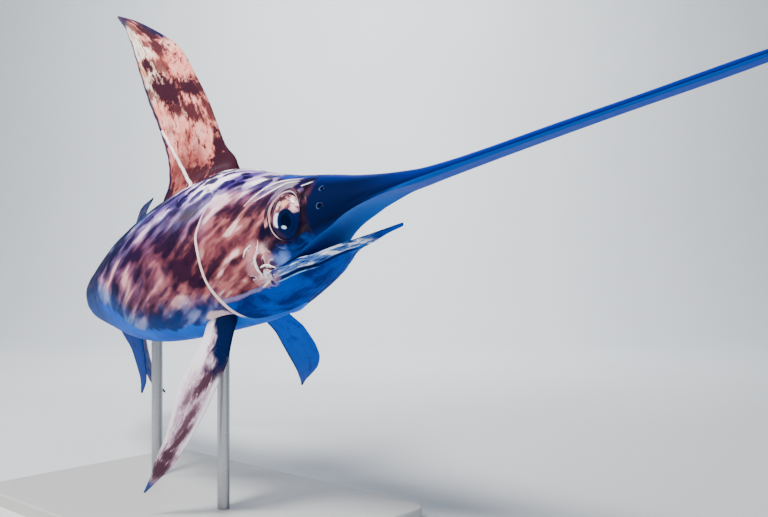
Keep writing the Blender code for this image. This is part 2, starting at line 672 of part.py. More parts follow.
def main():
    for obj in list(bpy.data.objects):
        bpy.data.objects.remove(obj)
    paints = {
        "skin_back": material("skin_back", (0.16, 0.11, 0.13), 0.35, coat=0.3),
        "bill": material("bill", (0.05, 0.06, 0.13), 0.35, coat=0.3),
        "jaw": material("jaw", (0.45, 0.44, 0.50), 0.4, coat=0.3),
        "eye": material("eye", (0.03, 0.04, 0.09), 0.08, coat=1.0),
        "fin": material("fin", (0.30, 0.18, 0.16), 0.4, coat=0.2),
        "stand_plate": material("stand_plate", (0.55, 0.55, 0.54), 0.5),
        "stand_metal": material("stand_metal", (0.60, 0.60, 0.60), 0.3, metallic=1.0),
    }
    solid("bill", bill_shape(), paints["bill"])
    head = solid("head", head_shape(), paints["skin_back"])
    raised, cut = [], []
    for sign in (1, -1):
        raised.append(solid("rim", orbit_rim_shape(sign), helper=True))
        for table in (BROW_NEAR, BROW_FAR):
            path, out = surface_path(table, sign, 9)
            raised.append(solid("brow", bead_shape(path - out * BROW_SINK, out, BROW_RADIUS), helper=True))
        cut.append(solid("socket", eye_shape(sign, GAP), helper=True))
        cut += [solid("pit", nostril_shape(*pit, sign), helper=True) for pit in NOSTRILS]
        path, out = surface_path(FOLD, sign, 12)
        cut.append(solid("fold", bead_shape(path + out * FOLD_LIFT, out, FOLD_RADIUS), helper=True))
    combine(head, raised, "UNION")
    combine(head, cut, "DIFFERENCE")
    keep_largest(head)
    solid("lower_jaw", jaw_shape(), paints["jaw"])
    solid("eye_left", eye_shape(1), paints["eye"])
    solid("eye_right", eye_shape(-1), paints["eye"])
    front = solid("torso_front", torso_front_shape(), paints["skin_back"])
    rear = solid("torso_rear", tube_body(TORSO_JOINT, PEDUNCLE_JOINT - GAP, 9), paints["skin_back"])
    tail = solid("peduncle", tube_body(PEDUNCLE_JOINT, TAIL_ROOT, 14), paints["skin_back"])

    right, left = paddle(*PECTORAL_RIGHT), paddle(*PECTORAL_LEFT)
    fins = (
        ("dorsal_fin_1", front, DORSAL_FRONT, DORSAL_REAR, median, 15, 9, 0.0032),
        ("anal_fin_1", rear, ANAL_FRONT, ANAL_REAR, median, 11, 7, 0.0022),
        ("dorsal_fin_2", tail, SMALL_FRONT, SMALL_REAR, median, 5, 3, 0.0012),
        ("anal_fin_2", tail, lower(SMALL_FRONT), lower(SMALL_REAR), median, 5, 3, 0.0012),
        ("caudal_fin_upper", tail, TAIL_FRONT, TAIL_REAR, median, 13, 7, 0.0030),
        ("caudal_fin_lower", tail, lower(TAIL_FRONT), lower(TAIL_REAR), median, 13, 7, 0.0030),
        ("pectoral_fin_right", front, RIGHT_PECTORAL_FRONT, RIGHT_PECTORAL_REAR, right, 14, 8, 0.0028),
        ("pectoral_fin_left", front, LEFT_PECTORAL_FRONT, LEFT_PECTORAL_REAR, left, 14, 8, 0.0028),
    )
    for name, body, lead, trail, frame, spans, rays, thick in fins:
        seat(body, fin_shape(lead, trail, frame, spans, rays, thick, grow=GAP))
        solid(name, fin_shape(lead, trail, frame, spans, rays, thick), paints["fin"])

    top = BASE_SIZE[2]
    solid("stand_base", slab_points(BASE_SIZE), paints["stand_plate"], scaled=True)
    for name, s, body in zip(("stand_rod_front", "stand_rod_rear"), ROD_STATIONS, (front, rear)):
        x, y, z = rod_foot(s)
        high = z + ROD_SOCKET
        socket = cylinder_points(x, y, SOCKET_START, high + CLEARANCE, ROD_RADIUS + CLEARANCE)
        combine(body, [solid("socket", socket, scaled=True, helper=True)], "DIFFERENCE")
        rod = cylinder_points(x, y, top + CLEARANCE, high, ROD_RADIUS)
        solid(name, rod, paints["stand_metal"], scaled=True)
    for body in (front, rear, tail):
        keep_largest(body)


main()
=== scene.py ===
"""Looks of the swordfish model: one skin from bill to tail, eyes, rayed fins, stand, floor and lights."""

import math
from types import SimpleNamespace

import bmesh
import bpy
import numpy as np
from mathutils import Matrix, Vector

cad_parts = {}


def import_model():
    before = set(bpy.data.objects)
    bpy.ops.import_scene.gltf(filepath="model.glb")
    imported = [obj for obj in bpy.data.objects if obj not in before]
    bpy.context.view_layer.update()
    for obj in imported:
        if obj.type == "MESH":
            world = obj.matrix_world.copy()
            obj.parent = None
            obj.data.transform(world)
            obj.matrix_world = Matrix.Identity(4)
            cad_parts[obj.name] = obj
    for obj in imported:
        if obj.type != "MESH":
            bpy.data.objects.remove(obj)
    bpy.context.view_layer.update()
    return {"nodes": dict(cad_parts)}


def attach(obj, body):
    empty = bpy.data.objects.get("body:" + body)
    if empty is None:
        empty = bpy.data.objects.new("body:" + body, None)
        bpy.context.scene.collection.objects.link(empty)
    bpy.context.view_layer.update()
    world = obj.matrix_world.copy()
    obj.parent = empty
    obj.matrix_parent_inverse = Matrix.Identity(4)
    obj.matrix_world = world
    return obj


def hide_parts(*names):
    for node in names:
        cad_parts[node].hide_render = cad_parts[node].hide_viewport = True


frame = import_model()

FORK_LENGTH = 1.75
HEAD_UP = (0.232, 0.084, 0.969)
FISH_AT = (0.664, -0.039, 0.722)
SQUARENESS = 0.92
BILL_TIP = -0.46
MOUTH_CORNER = 0.1535
MOUTH_END = 0.186
TAIL_ROOT = 1.012

# Height of the back and the belly, half width, height of the widest line, and the line of the mouth.
BACK = (
    (-0.46, -0.0062), (-0.38, -0.0020), (-0.286, 0.0001), (-0.206, 0.0027), (-0.115, 0.0048),
    (-0.052, 0.0088), (-0.012, 0.0155), (0.042, 0.0284), (0.086, 0.0422), (0.131, 0.055), (0.179, 0.073),
    (0.22, 0.090), (0.25, 0.0965), (0.30, 0.0965), (0.36, 0.093), (0.42, 0.085), (0.50, 0.074), (0.60, 0.058),
    (0.70, 0.0435), (0.80, 0.0315), (0.88, 0.0225), (0.93, 0.0175), (0.965, 0.0145), (1.02, 0.0150),
)
BELLY = (
    (-0.46, -0.0100), (-0.38, -0.0122), (-0.25, -0.0098), (-0.12, -0.0084), (-0.05, -0.0090),
    (-0.03, -0.0126), (0.0, -0.0405), (0.03, -0.0430), (0.063, -0.0475), (0.083, -0.0520), (0.096, -0.0580),
    (0.113, -0.0680), (0.153, -0.0830), (0.189, -0.0930), (0.24, -0.0985), (0.30, -0.0975), (0.36, -0.0955),
    (0.45, -0.0905), (0.55, -0.079), (0.65, -0.062), (0.75, -0.0445), (0.82, -0.0325), (0.88, -0.0235),
    (0.93, -0.0175), (0.965, -0.0145), (1.02, -0.0150),
)
HALF_WIDTH = (
    (-0.46, 0.0028), (-0.45, 0.0062), (-0.38, 0.0134), (-0.25, 0.0147), (-0.12, 0.0180), (-0.05, 0.0202),
    (-0.008, 0.0256), (0.016, 0.0278), (0.036, 0.0302), (0.08, 0.0395), (0.12, 0.0470), (0.16, 0.0545),
    (0.20, 0.061), (0.24, 0.067), (0.30, 0.073), (0.36, 0.0755), (0.45, 0.072), (0.55, 0.061), (0.65, 0.0465),
    (0.75, 0.033), (0.82, 0.025), (0.88, 0.019), (0.93, 0.0145), (0.97, 0.0115), (1.02, 0.0055),
)
WIDEST = (
    (-0.46, -0.0080), (-0.38, -0.0075), (-0.25, -0.0050), (-0.12, -0.0028), (-0.05, -0.0018), (0.0, -0.0030),
    (0.036, -0.0060), (0.08, -0.0110), (0.155, -0.016), (0.24, -0.008), (0.36, -0.004), (0.50, -0.002),
    (0.70, 0.0), (1.02, 0.0),
)
MOUTH_LINE = (
    (-0.46, -0.0090), (-0.38, -0.0098), (-0.25, -0.0075), (-0.12, -0.0062), (-0.05, -0.0063),
    (-0.008, -0.0050), (0.016, -0.0068), (0.036, -0.0092), (0.09, -0.0232), (0.1535, -0.0463), (0.25, -0.050),
    (0.50, -0.042), (0.80, -0.016), (1.02, -0.007),
)
# How far the edges of the upper jaw are drawn in under the head, as a share of the half width.
TUCK = ((-0.46, 0.0), (0.02, 0.0), (0.05, 0.09), (0.08, 0.28), (0.11, 0.20), (0.1535, 0.0), (1.02, 0.0))
JAW_TOP = ((0.0, -0.0368), (0.04, -0.0377), (0.076, -0.0390), (0.12, -0.0438), (0.16, -0.0480))
JAW_HALF_WIDTH = (
    (0.0, 0.0014), (0.03, 0.0042), (0.06, 0.0105), (0.076, 0.0170), (0.10, 0.0275), (0.13, 0.0395),
    (0.16, 0.0475),
)
KEEL = ((0.80, 0.0), (0.86, 0.0), (0.91, 0.0060), (0.95, 0.0110), (0.99, 0.0120), (1.02, 0.0060))

# Where the gill cover ends, by the elevation in degrees round the section, and how proud it stands.
GILL_EDGE = (
    (-90, 0.165), (-78, 0.195), (-64, 0.2335), (-38, 0.2500), (-10, 0.2575), (9, 0.2574), (22, 0.2460),
    (35, 0.2302), (60, 0.219), (90, 0.214),
)
GILL_PROUD = 0.0022
# The fold in front of the gill cover, by elevation.
FOLD = ((-44, 0.1970), (-25, 0.2022), (-8, 0.2035), (10, 0.2018), (26, 0.1975))
FOLD_LOW_END = (-48, -36)
FOLD_HIGH_END = (30, 18)
# The lips: a band on the lower jaw with a groove under it, and a ridge on the edge of the upper jaw.
LIP_BAND = 0.0105
LIP_PROUD = 0.0018
LIP_GROOVE = 0.0012
UPPER_LIP_PROUD = 0.0009
# The share of the gill cover's height that is left, by elevation.
GILL_FADE = ((-90, 0.6), (-60, 1.0), (25, 1.0), (45, 0.25), (60, 0.0), (90, 0.0))

# The spine's turn to the left, its climb and its twist in degrees.
YAW = ((-0.6, 0.0), (0.28, 0.0), (0.50, 15.4), (0.72, 19.4), (1.0, 60.2), (1.3, 60.2))
CLIMB = ((-0.6, 0.0), (0.28, 0.0), (0.60, 5.3), (1.0, 2.2), (1.3, 2.2))
TWIST = ((-0.6, 0.0), (0.28, 0.0), (0.60, 5.8), (1.0, -10.1), (1.3, -10.1))
SPINE_STEPS = 951

# Fin outlines from root to tip: share of the span, station along the fish, height.
DORSAL_FRONT = (
    (0, 0.232, 0.078), (0.08, 0.233, 0.104), (0.2, 0.247, 0.130), (0.35, 0.259, 0.189),
    (0.5, 0.274, 0.234), (0.65, 0.290, 0.273), (0.78, 0.316, 0.301), (0.86, 0.335, 0.317),
    (0.94, 0.371, 0.343), (1, 0.405, 0.3615),
)
DORSAL_REAR = (
    (0, 0.410, 0.072), (0.08, 0.402, 0.092), (0.2, 0.3745, 0.117), (0.35, 0.3655, 0.150),
    (0.5, 0.370, 0.189), (0.65, 0.380, 0.230), (0.78, 0.3865, 0.278), (0.86, 0.389, 0.305),
    (0.94, 0.394, 0.335), (1, 0.408, 0.3605),
)
ANAL_FRONT = (
    (0, 0.605, -0.050), (0.15, 0.612, -0.070), (0.45, 0.630, -0.112), (0.75, 0.652, -0.148),
    (1, 0.686, -0.170),
)
ANAL_REAR = (
    (0, 0.722, -0.034), (0.15, 0.712, -0.058), (0.45, 0.679, -0.100), (0.75, 0.676, -0.140),
    (1, 0.690, -0.1685),
)
TAIL_FRONT = (
    (0, 0.975, 0.0004), (0.08, 0.985, 0.0140), (0.2, 0.993, 0.040), (0.4, 1.008, 0.088), (0.6, 1.030, 0.135),
    (0.8, 1.062, 0.176), (1, 1.120, 0.203),
)
TAIL_REAR = (
    (0, 1.034, 0.0004), (0.08, 1.034, 0.0120), (0.2, 1.036, 0.036), (0.4, 1.046, 0.082), (0.6, 1.061, 0.128),
    (0.8, 1.084, 0.168), (1, 1.123, 0.2015),
)
SMALL_FRONT = ((0, 0.900, 0.010), (0.3, 0.905, 0.022), (0.7, 0.916, 0.033), (1, 0.930, 0.040))
SMALL_REAR = ((0, 0.936, 0.008), (0.3, 0.930, 0.020), (0.7, 0.929, 0.031), (1, 0.932, 0.039))
RIGHT_PECTORAL_FRONT = (
    (0, -0.006, -0.018), (0.1, -0.011, 0.006), (0.25, -0.011, 0.040), (0.4, -0.002, 0.072),
    (0.55, 0.011, 0.103), (0.7, 0.030, 0.134), (0.84, 0.056, 0.164), (0.92, 0.074, 0.176), (1, 0.096, 0.190),
)
RIGHT_PECTORAL_REAR = (
    (0, 0.044, -0.018), (0.1, 0.047, 0.006), (0.25, 0.053, 0.036), (0.4, 0.0575, 0.064),
    (0.55, 0.0605, 0.096), (0.7, 0.068, 0.128), (0.84, 0.081, 0.152), (0.92, 0.086, 0.168),
    (1, 0.0985, 0.189),
)
LEFT_PECTORAL_FRONT = (
    (0, -0.004, -0.018), (0.1, -0.012, 0.006), (0.25, -0.0285, 0.045), (0.4, -0.031, 0.080),
    (0.55, -0.026, 0.115), (0.7, -0.008, 0.149), (0.84, 0.024, 0.178), (0.92, 0.042, 0.193),
    (1, 0.0605, 0.2135),
)
LEFT_PECTORAL_REAR = (
    (0, 0.040, -0.018), (0.1, 0.032, 0.006), (0.25, 0.0245, 0.040), (0.4, 0.026, 0.072), (0.55, 0.030, 0.110),
    (0.7, 0.037, 0.148), (0.84, 0.046, 0.175), (0.92, 0.053, 0.193), (1, 0.063, 0.2125),
)
# Each paired fin: its root, the way it hangs, and its chord at the root and further out.
PECTORAL_RIGHT = ((-0.260, -0.0420, -0.0900), (-0.35, -0.30, -0.88), (-1.0, 0.0, 0.0), (-0.90, -0.35, 0.0))
PECTORAL_LEFT = ((-0.264, 0.0440, -0.0870), (-0.48, 0.62, -0.62), (-1.0, 0.0, 0.0), (-1.0, 0.0, 0.0))
# How far out along a paired fin its chord turns, and how much the fin bends.
CHORD_TURN = 0.09
CUP = 0.9

EYE_AT = (0.1229, 0.0054)
EYE_RADII = (0.0212, 0.0265)
EYE_BULGE = 0.0075
EYE_DEPTH = 0.0200
EYE_SUNK = 0.0025
EYE_FIT = 0.985
NOSTRILS = ((0.0750, 0.0232, 0.0024), (0.0772, 0.0045, 0.0030))
# The grid row along the gill cover's edge, and the rows between which the grid bends towards it.
GILL_ROW = 0.240
GILL_FROM = 0.158
GILL_TO = 0.36

# The skin's relief in shares of the length: how high each form stands, or how deep it is.
GILL_FURROW = 0.0007
FOLD_DEPTH = 0.0010
FOLD_WIDTH = 0.0012
ORBIT_LIFT = 0.0012
ORBIT_DEPTH = 0.0150
NOSTRIL_DEPTH = 0.0030
UPPER_GROOVE = 0.0005
# Under the lip two grooves with a low ridge between them: depth, way off the lip and width.
JAW_GROOVES = ((LIP_GROOVE, 1.2 * LIP_BAND, 0.0015), (0.0011, 0.0205, 0.0016), (-0.0006, 0.0165, 0.0022))
CHEEK_AT = (0.170, -0.040)
CHEEK_REACH = 0.020
CHEEK_RIPPLE = 0.0008
FLANK_RIPPLE = 0.00045
CHIN_LINES = 0.00035
ROOF_ARCH = 0.0045
FLOOR_SAG = 0.012
SEAM_ROWS = 14
SEAM_HEIGHT = -0.046
SEAM_SPREAD = 0.35
# The stations over which the arch of the roof and the sag of the floor come in, and where both go out.
ROOF_ONSET = (-0.02, 0.06)
FLOOR_ONSET = (0.0, 0.09)
ARCH_END = (MOUTH_END, 0.15)
# From this station on the jaw runs into the throat, which it has joined at the corner of the mouth.
JAW_JOINS = 0.105
KEEL_SPREAD = 0.16
# How many waves a ripple adds up, and what brings their sum to about 1.
RIPPLE_WAVES = 7
RIPPLE_SUM = 4.5
# Each ripple: how close its waves are in the two directions, and its seed.
CHEEK_WAVES = (700, 520, 3)
FLANK_WAVES = (60, 0.10, 5)
LIP_WAVES = (520, 900, 8)
RIDGE_WAVES = (5.0, 2.0, 11)

# The skin's grid: runs of rows with their first and last station and count, and the columns.
ROW_RUNS = (
    (BILL_TIP, -0.44, 8), (-0.44, -0.06, 60), (-0.06, MOUTH_CORNER, 112),
    (MOUTH_CORNER, GILL_ROW - 0.005, 44), (GILL_ROW - 0.005, GILL_ROW - 0.0002, 10),
    (GILL_ROW, GILL_ROW + 0.006, 10), (GILL_ROW + 0.006, 0.40, 36), (0.40, TAIL_ROOT, 90),
)
UPPER_COLUMNS = 112
LOWER_COLUMNS = 84
INNER_COLUMNS = 33
ORBIT_COLUMNS = 96
NOSTRIL_COLUMNS = 40
# The eye's grid, and how far from its poles in radians the first and the last ring lie.
EYE_GRID = (44, 73)
EYE_POLE = 0.02
# Points closer than this become one, in metres; stations closer than these count as the same.
WELD = 2e-6
NEAR = 1e-7
TINY = 1e-9
# How far to either side a slope of the skin is measured, and the degrees of a radian.
NEIGHBOUR = 0.004
DEGREES_OF_RADIAN = 57.3

# Share of the opening's radius, height off the body, and painted light: above 0 a painted highlight on the
# rim, below 0 painted shade on the wall inside.
ORBIT_PROFILE = (
    (0.86, -0.0075, -1.0), (0.925, -0.0052, -1.0), (0.955, -0.0026, -0.8), (0.970, -0.0004, -0.2),
    (0.985, 0.0012, 0.6), (1.000, 0.0021, 1.0), (1.016, 0.0022, 0.7), (1.032, 0.0018, 0.0),
    (1.065, 0.0010, 0.0), (1.13, 0.0009, 0.0), (1.24, 0.0011, 0.0), (1.36, 0.0007, 0.0),
    (1.48, -0.0004, 0.0),
)
NOSTRIL_PROFILE = (
    (0.04, -0.0028, -1.0), (0.35, -0.0026, -1.0), (0.62, -0.0018, -0.8), (0.80, -0.0004, -0.2),
    (0.95, 0.0005, 0.9), (1.15, 0.0006, 0.8), (1.40, 0.0002, 0.0), (1.75, -0.0006, 0.0),
)

# Ridges on the head: the radius in metres, then stations and elevations in degrees.
BROW_RIDGES = (
    (0.0023, (
        (0.085, 71), (0.113, 68.5), (0.130, 66), (0.144, 60),
        (0.155, 52), (0.167, 42), (0.179, 33), (0.190, 26),
    )),
    (0.0021, (
        (0.098, 66), (0.113, 62), (0.127, 60), (0.136, 54),
        (0.146, 47), (0.156, 41), (0.166, 36), (0.178, 29),
    )),
    (0.0018, ((0.088, 60), (0.098, 54), (0.110, 49), (0.119, 46))),
)
CHEEK_FOLDS = (
    (0.0030, (
        (0.163, 9), (0.166, 2), (0.171, -5), (0.1775, -12),
        (0.178, -18), (0.176, -24), (0.178, -29), (0.186, -33),
    )),
    (0.0022, ((0.171, 2), (0.180, 0), (0.186, -2), (0.190, -5), (0.194, -9))),
    (0.0026, ((0.177, -19), (0.167, -18), (0.159, -21), (0.152, -25), (0.145, -26.5))),
    (0.0024, ((0.160, -28), (0.170, -33), (0.180, -36), (0.192, -38))),
)
RIDGE_STEPS = 60
RIDGE_SUNK = 0.6
# Points of the dorsal fin's white rib, in shares of the span and the chord, and its radius in metres.
RIB = (
    (0.02, 0.44), (0.065, 0.477), (0.14, 0.603), (0.21, 0.69), (0.26, 0.75), (0.31, 0.815), (0.37, 0.869),
    (0.475, 0.94),
)
RIB_RADIUS = 0.0050

# The fins' rays and thickness in shares of the length, apart from the rays' radius in metres.
LEAST_HALF = 0.00022
FLARE_REACH = 0.0065
RAY_WAVE = 0.00010
RAY_SUNK = 0.00020
RAY_STEPS = 44
RAY_RADIUS = 0.00085
RAY_TAPER = 0.72
RAY_SPAN = (0.03, 0.97)
NICK_WAVES = 95.0
# How many sides the section of a ray has, and that of a ridge or the white rib.
RAY_SIDES = 6
RIDGE_SIDES = 8
# With more rays than this a fin's rays get thinner, and with few rays a fin is small and gets a coarse grid.
CROWDED_RAYS = 26
SMALL_FIN_RAYS = 10
FINE_GRID = (90, 73)
COARSE_GRID = (30, 25)

# Colour ramps: the first colour, then rows of where the next one begins, where it is full, and the colour.
COPPER = ((50, 20, 42), (0.34, 0.47, (118, 60, 68)), (0.47, 0.57, (176, 102, 102)))
# The shine colours are painted dappled sunlight on the flank.
SHINE = ((255, 206, 206), (0.24, 0.36, (236, 166, 164)))
PLUM = ((14, 8, 32), (0.3, 0.7, (44, 20, 42)))
# The cool lilac up the side is partly painted sheen, and the navy towards the tail partly painted shade.
COLD = ((10, 14, 60), (0.38, 0.56, (96, 106, 180)), (0.56, 0.66, (206, 200, 240)))
DUSK = ((8, 14, 52), (0.38, 0.54, (88, 66, 112)), (0.54, 0.66, (216, 160, 172)))
# The palest white of the crown's lilac ground is partly painted highlight.
LILAC = ((84, 64, 134), (0.36, 0.50, (194, 170, 222)), (0.53, 0.63, (255, 246, 255)))
INDIGO = ((8, 5, 48), (-0.1, 0.1, (40, 30, 92)))
BROW_SHADE = ((8, 6, 40), (0.4, 0.6, (52, 26, 66)))
FOREHEAD = ((0, 26, 100), (0.4, 0.6, (4, 52, 152)))
# The dark back's lighter blue is partly painted light.
DARK_BACK = ((3, 12, 50), (0.5, 0.66, (40, 84, 160)))
# The blue of the lower flank, the belly and the tail is painted shade.
LOW_FLANK_SHADE = ((0, 58, 130), (0.4, 0.62, (84, 140, 208)))
BELLY_SHADE_BLUE = ((0, 78, 190), (-0.2, 0.2, (4, 106, 226)))
TAIL_SHADE_BLUE = ((2, 52, 130), (-0.3, 0.3, (3, 16, 60)))
# Dark brown before the eye, deepened to near black by painted shade.
SHADED_FRONT_BROWN = ((22, 8, 20), (0.44, 0.60, (84, 38, 48)))
# The blue under the eye is painted shade.
UNDER_EYE_SHADE = ((0, 26, 84), (0.40, 0.60, (0, 62, 150)))
# The snout's lighter blue along its top is painted light from above.
SNOUT_TOP = ((0, 12, 52), (0.50, 0.95, (0, 36, 132)))
BILL_SIDE = ((0, 40, 146), (0.5, 0.0, (0, 20, 88)))
# The throat's blue is painted shade.
THROAT_SHADE = ((0, 32, 108), (0.36, 0.64, (0, 72, 178)))
PALATE = ((0, 62, 166), (-0.03, 0.04, (0, 94, 190)))
# The lip band's white is partly painted highlight and its blue grey partly painted shade.
LIP_LIGHT_AND_SHADE = ((6, 40, 104), (0.40, 0.50, (84, 122, 190)), (0.51, 0.58, (240, 242, 255)))
FLUSH = ((70, 30, 56), (0.42, 0.58, (220, 150, 156)))
STRAW = ((206, 138, 100), (-0.16, 0.04, (255, 244, 226)))
# The white of the ridges and folds is partly painted highlight.
PALE_RIDGE_AND_HIGHLIGHT = ((232, 206, 216), (0.36, 0.56, (255, 248, 246)))
# The ball's coppery pink is a painted reflection, and the dark blue below it painted shade.
BALL_REFLECTION = ((112, 58, 68), (0.42, 0.60, (206, 160, 166)))
LOWER_EYE_SHADE = ((0, 18, 70), (0.0, 0.4, (34, 20, 56)))
IRIS = ((0, 20, 74), (0.3, 0.7, (0, 22, 46)))
BLUE_SHEEN = (120, 160, 255)
# The streaks of the skin climb at 30 degrees: the sine and the cosine.
TILT_SINE, TILT_COSINE = 0.50, 0.866
SKIN_FACTS = ("station", "rise", "girth", "side", "below", "lining", "off_lip", "gill_gap", "socket_rim")
SHADER_SOCKETS = {
    "colour": "Base Color", "roughness": "Roughness", "normal": "Normal", "metallic": "Metallic",
    "coat": "Coat Weight", "coat_roughness": "Coat Roughness", "specular": "Specular IOR Level",
    "tint": "Specular Tint",
}

# Each blotch: its share of the span and of the chord, half its length along each, its slope and its darkness.
DORSAL_BLOTCHES = (
    (0.02, 0.50, 0.070, 1.40, -0.05, 1.0), (0.10, 0.10, 0.110, 0.30, -0.2, 1.0),
    (0.20, 0.00, 0.10, 0.12, 0.0, 0.9), (0.13, 0.45, 0.070, 0.26, 0.1, 0.8),
    (0.22, 0.72, 0.070, 0.24, 0.0, 0.5), (0.10, 0.92, 0.080, 0.16, 0.0, 1.0),
    (0.580, 0.56, 0.110, 0.25, 0.3, 1.0), (0.640, 0.70, 0.055, 0.15, 0.3, 0.9),
    (0.48, 0.18, 0.060, 0.22, 0.33, 0.9), (0.43, 0.02, 0.060, 0.12, 0.3, 0.8),
    (0.47, 0.50, 0.055, 0.22, 0.2, 0.75), (0.39, 0.30, 0.055, 0.20, 0.3, 0.75),
    (0.33, 0.01, 0.060, 0.10, 0.3, 0.7), (0.87, 0.16, 0.075, 0.20, 0.2, 0.9),
    (0.78, 0.28, 0.070, 0.18, 0.2, 0.75), (0.755, 0.72, 0.035, 0.13, 0.2, 0.9),
    (0.70, 0.48, 0.045, 0.14, 0.3, 0.6), (0.66, 0.88, 0.030, 0.10, 0.2, 0.6),
    (0.43, 0.78, 0.040, 0.12, 0.3, 0.4), (0.92, 0.45, 0.035, 0.25, 0.1, 0.6),
    (0.83, 0.48, 0.030, 0.12, 0.3, 0.6),
)
PECTORAL_BLOTCHES = (
    (0.40, 0.34, 0.085, 0.30, 0.3, 0.9), (0.47, 0.62, 0.080, 0.20, 0.3, 0.55),
    (0.62, 0.44, 0.085, 0.32, 0.4, 0.7), (0.72, 0.42, 0.070, 0.34, 0.3, 0.8),
    (0.80, 0.50, 0.060, 0.40, 0.0, 0.9), (0.88, 0.50, 0.070, 0.70, 0.0, 1.0),
    (0.34, 0.12, 0.080, 0.24, 0.0, 0.9),
)
# The blue of the left pectoral, the finlets, the anal fin and the tail is painted shade over their dark
# colour; the tail's pale patches are painted sunlight.
FIN_PAINTS = {
    "dorsal_fin_paint": {
        "dark": (36, 12, 32), "middle": (166, 82, 72), "light": (255, 154, 140), "edge": (2, 16, 62),
        "blotches": DORSAL_BLOTCHES, "pale": (255, 204, 190), "cream": 0.95,
    },
    "pectoral_fin_paint": {
        "dark": (66, 40, 52), "middle": (136, 100, 116), "light": (198, 166, 186), "edge": (2, 56, 120),
        "blotches": PECTORAL_BLOTCHES, "pale": (238, 218, 232), "base": (1, 18, 58), "rough": 0.6,
    },
    "rear_fin_paint": {
        "dark": (0, 28, 96), "middle": (0, 62, 168), "light": (2, 88, 208), "edge": (0, 20, 76),
    },
    "tail_fin_paint": {
        "dark": (2, 18, 66), "middle": (4, 56, 136), "light": (60, 78, 140), "edge": (0, 16, 60),
        "pale": (146, 114, 124),
    },
    "anal_fin_paint": {
        "dark": (0, 18, 66), "middle": (0, 36, 108), "light": (0, 58, 150), "edge": (0, 14, 58),
    },
}

# What the tree of the ribs takes in, the nodes that sweep lines into ribs, and their links.
RIB_INPUTS = {"Lines": "Geometry", "Rib size": "Float", "Sides": "Int", "Finish": "Material"}
RIB_NODES = {
    "entry": "NodeGroupInput",
    "leave": "NodeGroupOutput",
    "curve": "GeometryNodeMeshToCurve",
    "radius": "GeometryNodeInputNamedAttribute",
    "scale": "ShaderNodeMath",
    "circle": "GeometryNodeCurvePrimitiveCircle",
    "sweep": "GeometryNodeCurveToMesh",
    "smooth": "GeometryNodeSetShadeSmooth",
    "realize": "GeometryNodeRealizeInstances",
    "paint": "GeometryNodeSetMaterial",
}
RIB_LINKS = (
    ("entry", "Lines", "curve", "Mesh"),
    ("radius", "Attribute", "scale", 0),
    ("entry", "Rib size", "scale", 1),
    ("entry", "Sides", "circle", "Resolution"),
    ("curve", "Curve", "sweep", "Curve"),
    ("circle", "Curve", "sweep", "Profile Curve"),
    ("scale", "Value", "sweep", "Scale"),
    ("sweep", "Mesh", "smooth", "Geometry"),
    ("smooth", "Geometry", "realize", "Geometry"),
    ("realize", "Geometry", "paint", "Geometry"),
    ("entry", "Finish", "paint", "Material"),
    ("paint", "Geometry", "leave", "Ribs"),
)

# The floor runs away from the camera and then sweeps up: its directions, its length, the bend's radius,
# the gap under the stand, and how many points the bend has.
AWAY = (-0.6628, 0.7488)
ACROSS = (0.7488, 0.6628)
FLOOR_DEPTH = 4.0
SWEEP = 2.0
FLOOR_BELOW = 0.0005
BEND_STEPS = 16
# Where the floor starts behind the camera, how far it reaches to either side, and how high its wall is.
FLOOR_START = -6.0
FLOOR_REACH = 9.0
WALL_TOP = 9.0
SKY_COLOUR = (206, 220, 236)
SKY_STRENGTH = 0.26
# Each light: where it is, where it aims, its size, its power and its colour.
LIGHTS = {
    "key": ((0.4, -1.7, 3.0), (0.2, 0.0, 0.7), 0.9, 180.0, (1.0, 0.97, 0.94)),
    "side": ((-2.4, -2.0, 2.2), (0.0, 0.0, 0.7), 1.0, 60.0, (1.0, 0.95, 0.90)),
    "fill": ((3.2, -0.6, 0.8), (0.4, 0.0, 0.6), 1.6, 12.0, (0.70, 0.84, 1.0)),
    "backdrop": ((-1.6, 2.2, 3.6), (-3.4, 4.6, 1.2), 2.5, 260.0, (0.94, 0.97, 1.0)),
}
CAMERA_AT = (1.7555, -1.3012, 0.5933)
CAMERA_TURN = (89.986, -0.028, 41.515)
FOCAL_PIXELS = 899.7
IMAGE_WIDTH = 768
SENSOR_WIDTH = 36.0
CLIP = (0.02, 60.0)


def smooth_table(points):
    """A monotone cubic through rows of (position, value, ...)."""
    rows = np.array(points, float)
    x, y = rows[:, 0], rows[:, 1:]
    step = np.diff(x)[:, None]
    slope = np.diff(y, axis=0) / step
    tangent = np.zeros_like(y)
    before, after = 2 * step[1:] + step[:-1], step[1:] + 2 * step[:-1]
    same = slope[:-1] * slope[1:] > 0
    safe = np.where(same, slope[:-1], 1.0), np.where(same, slope[1:], 1.0)
    tangent[1:-1] = np.where(same, (before + after) / (before / safe[0] + after / safe[1]), 0.0)
    tangent[0], tangent[-1] = slope[0], slope[-1]

    def value(t):
        t = np.clip(np.asarray(t, float), x[0], x[-1])
        i = np.clip(np.searchsorted(x, t, side="right") - 1, 0, len(x) - 2)
        h = (x[i + 1] - x[i])[..., None]
        u = ((t - x[i]) / (x[i + 1] - x[i]))[..., None]
        result = (1 + 2 * u) * (1 - u) ** 2 * y[i] + u * (1 - u) ** 2 * h * tangent[i]
        result = result + u * u * (3 - 2 * u) * y[i + 1] + u * u * (u - 1) * h * tangent[i + 1]
        return result[..., 0] if result.shape[-1] == 1 else result

    return value


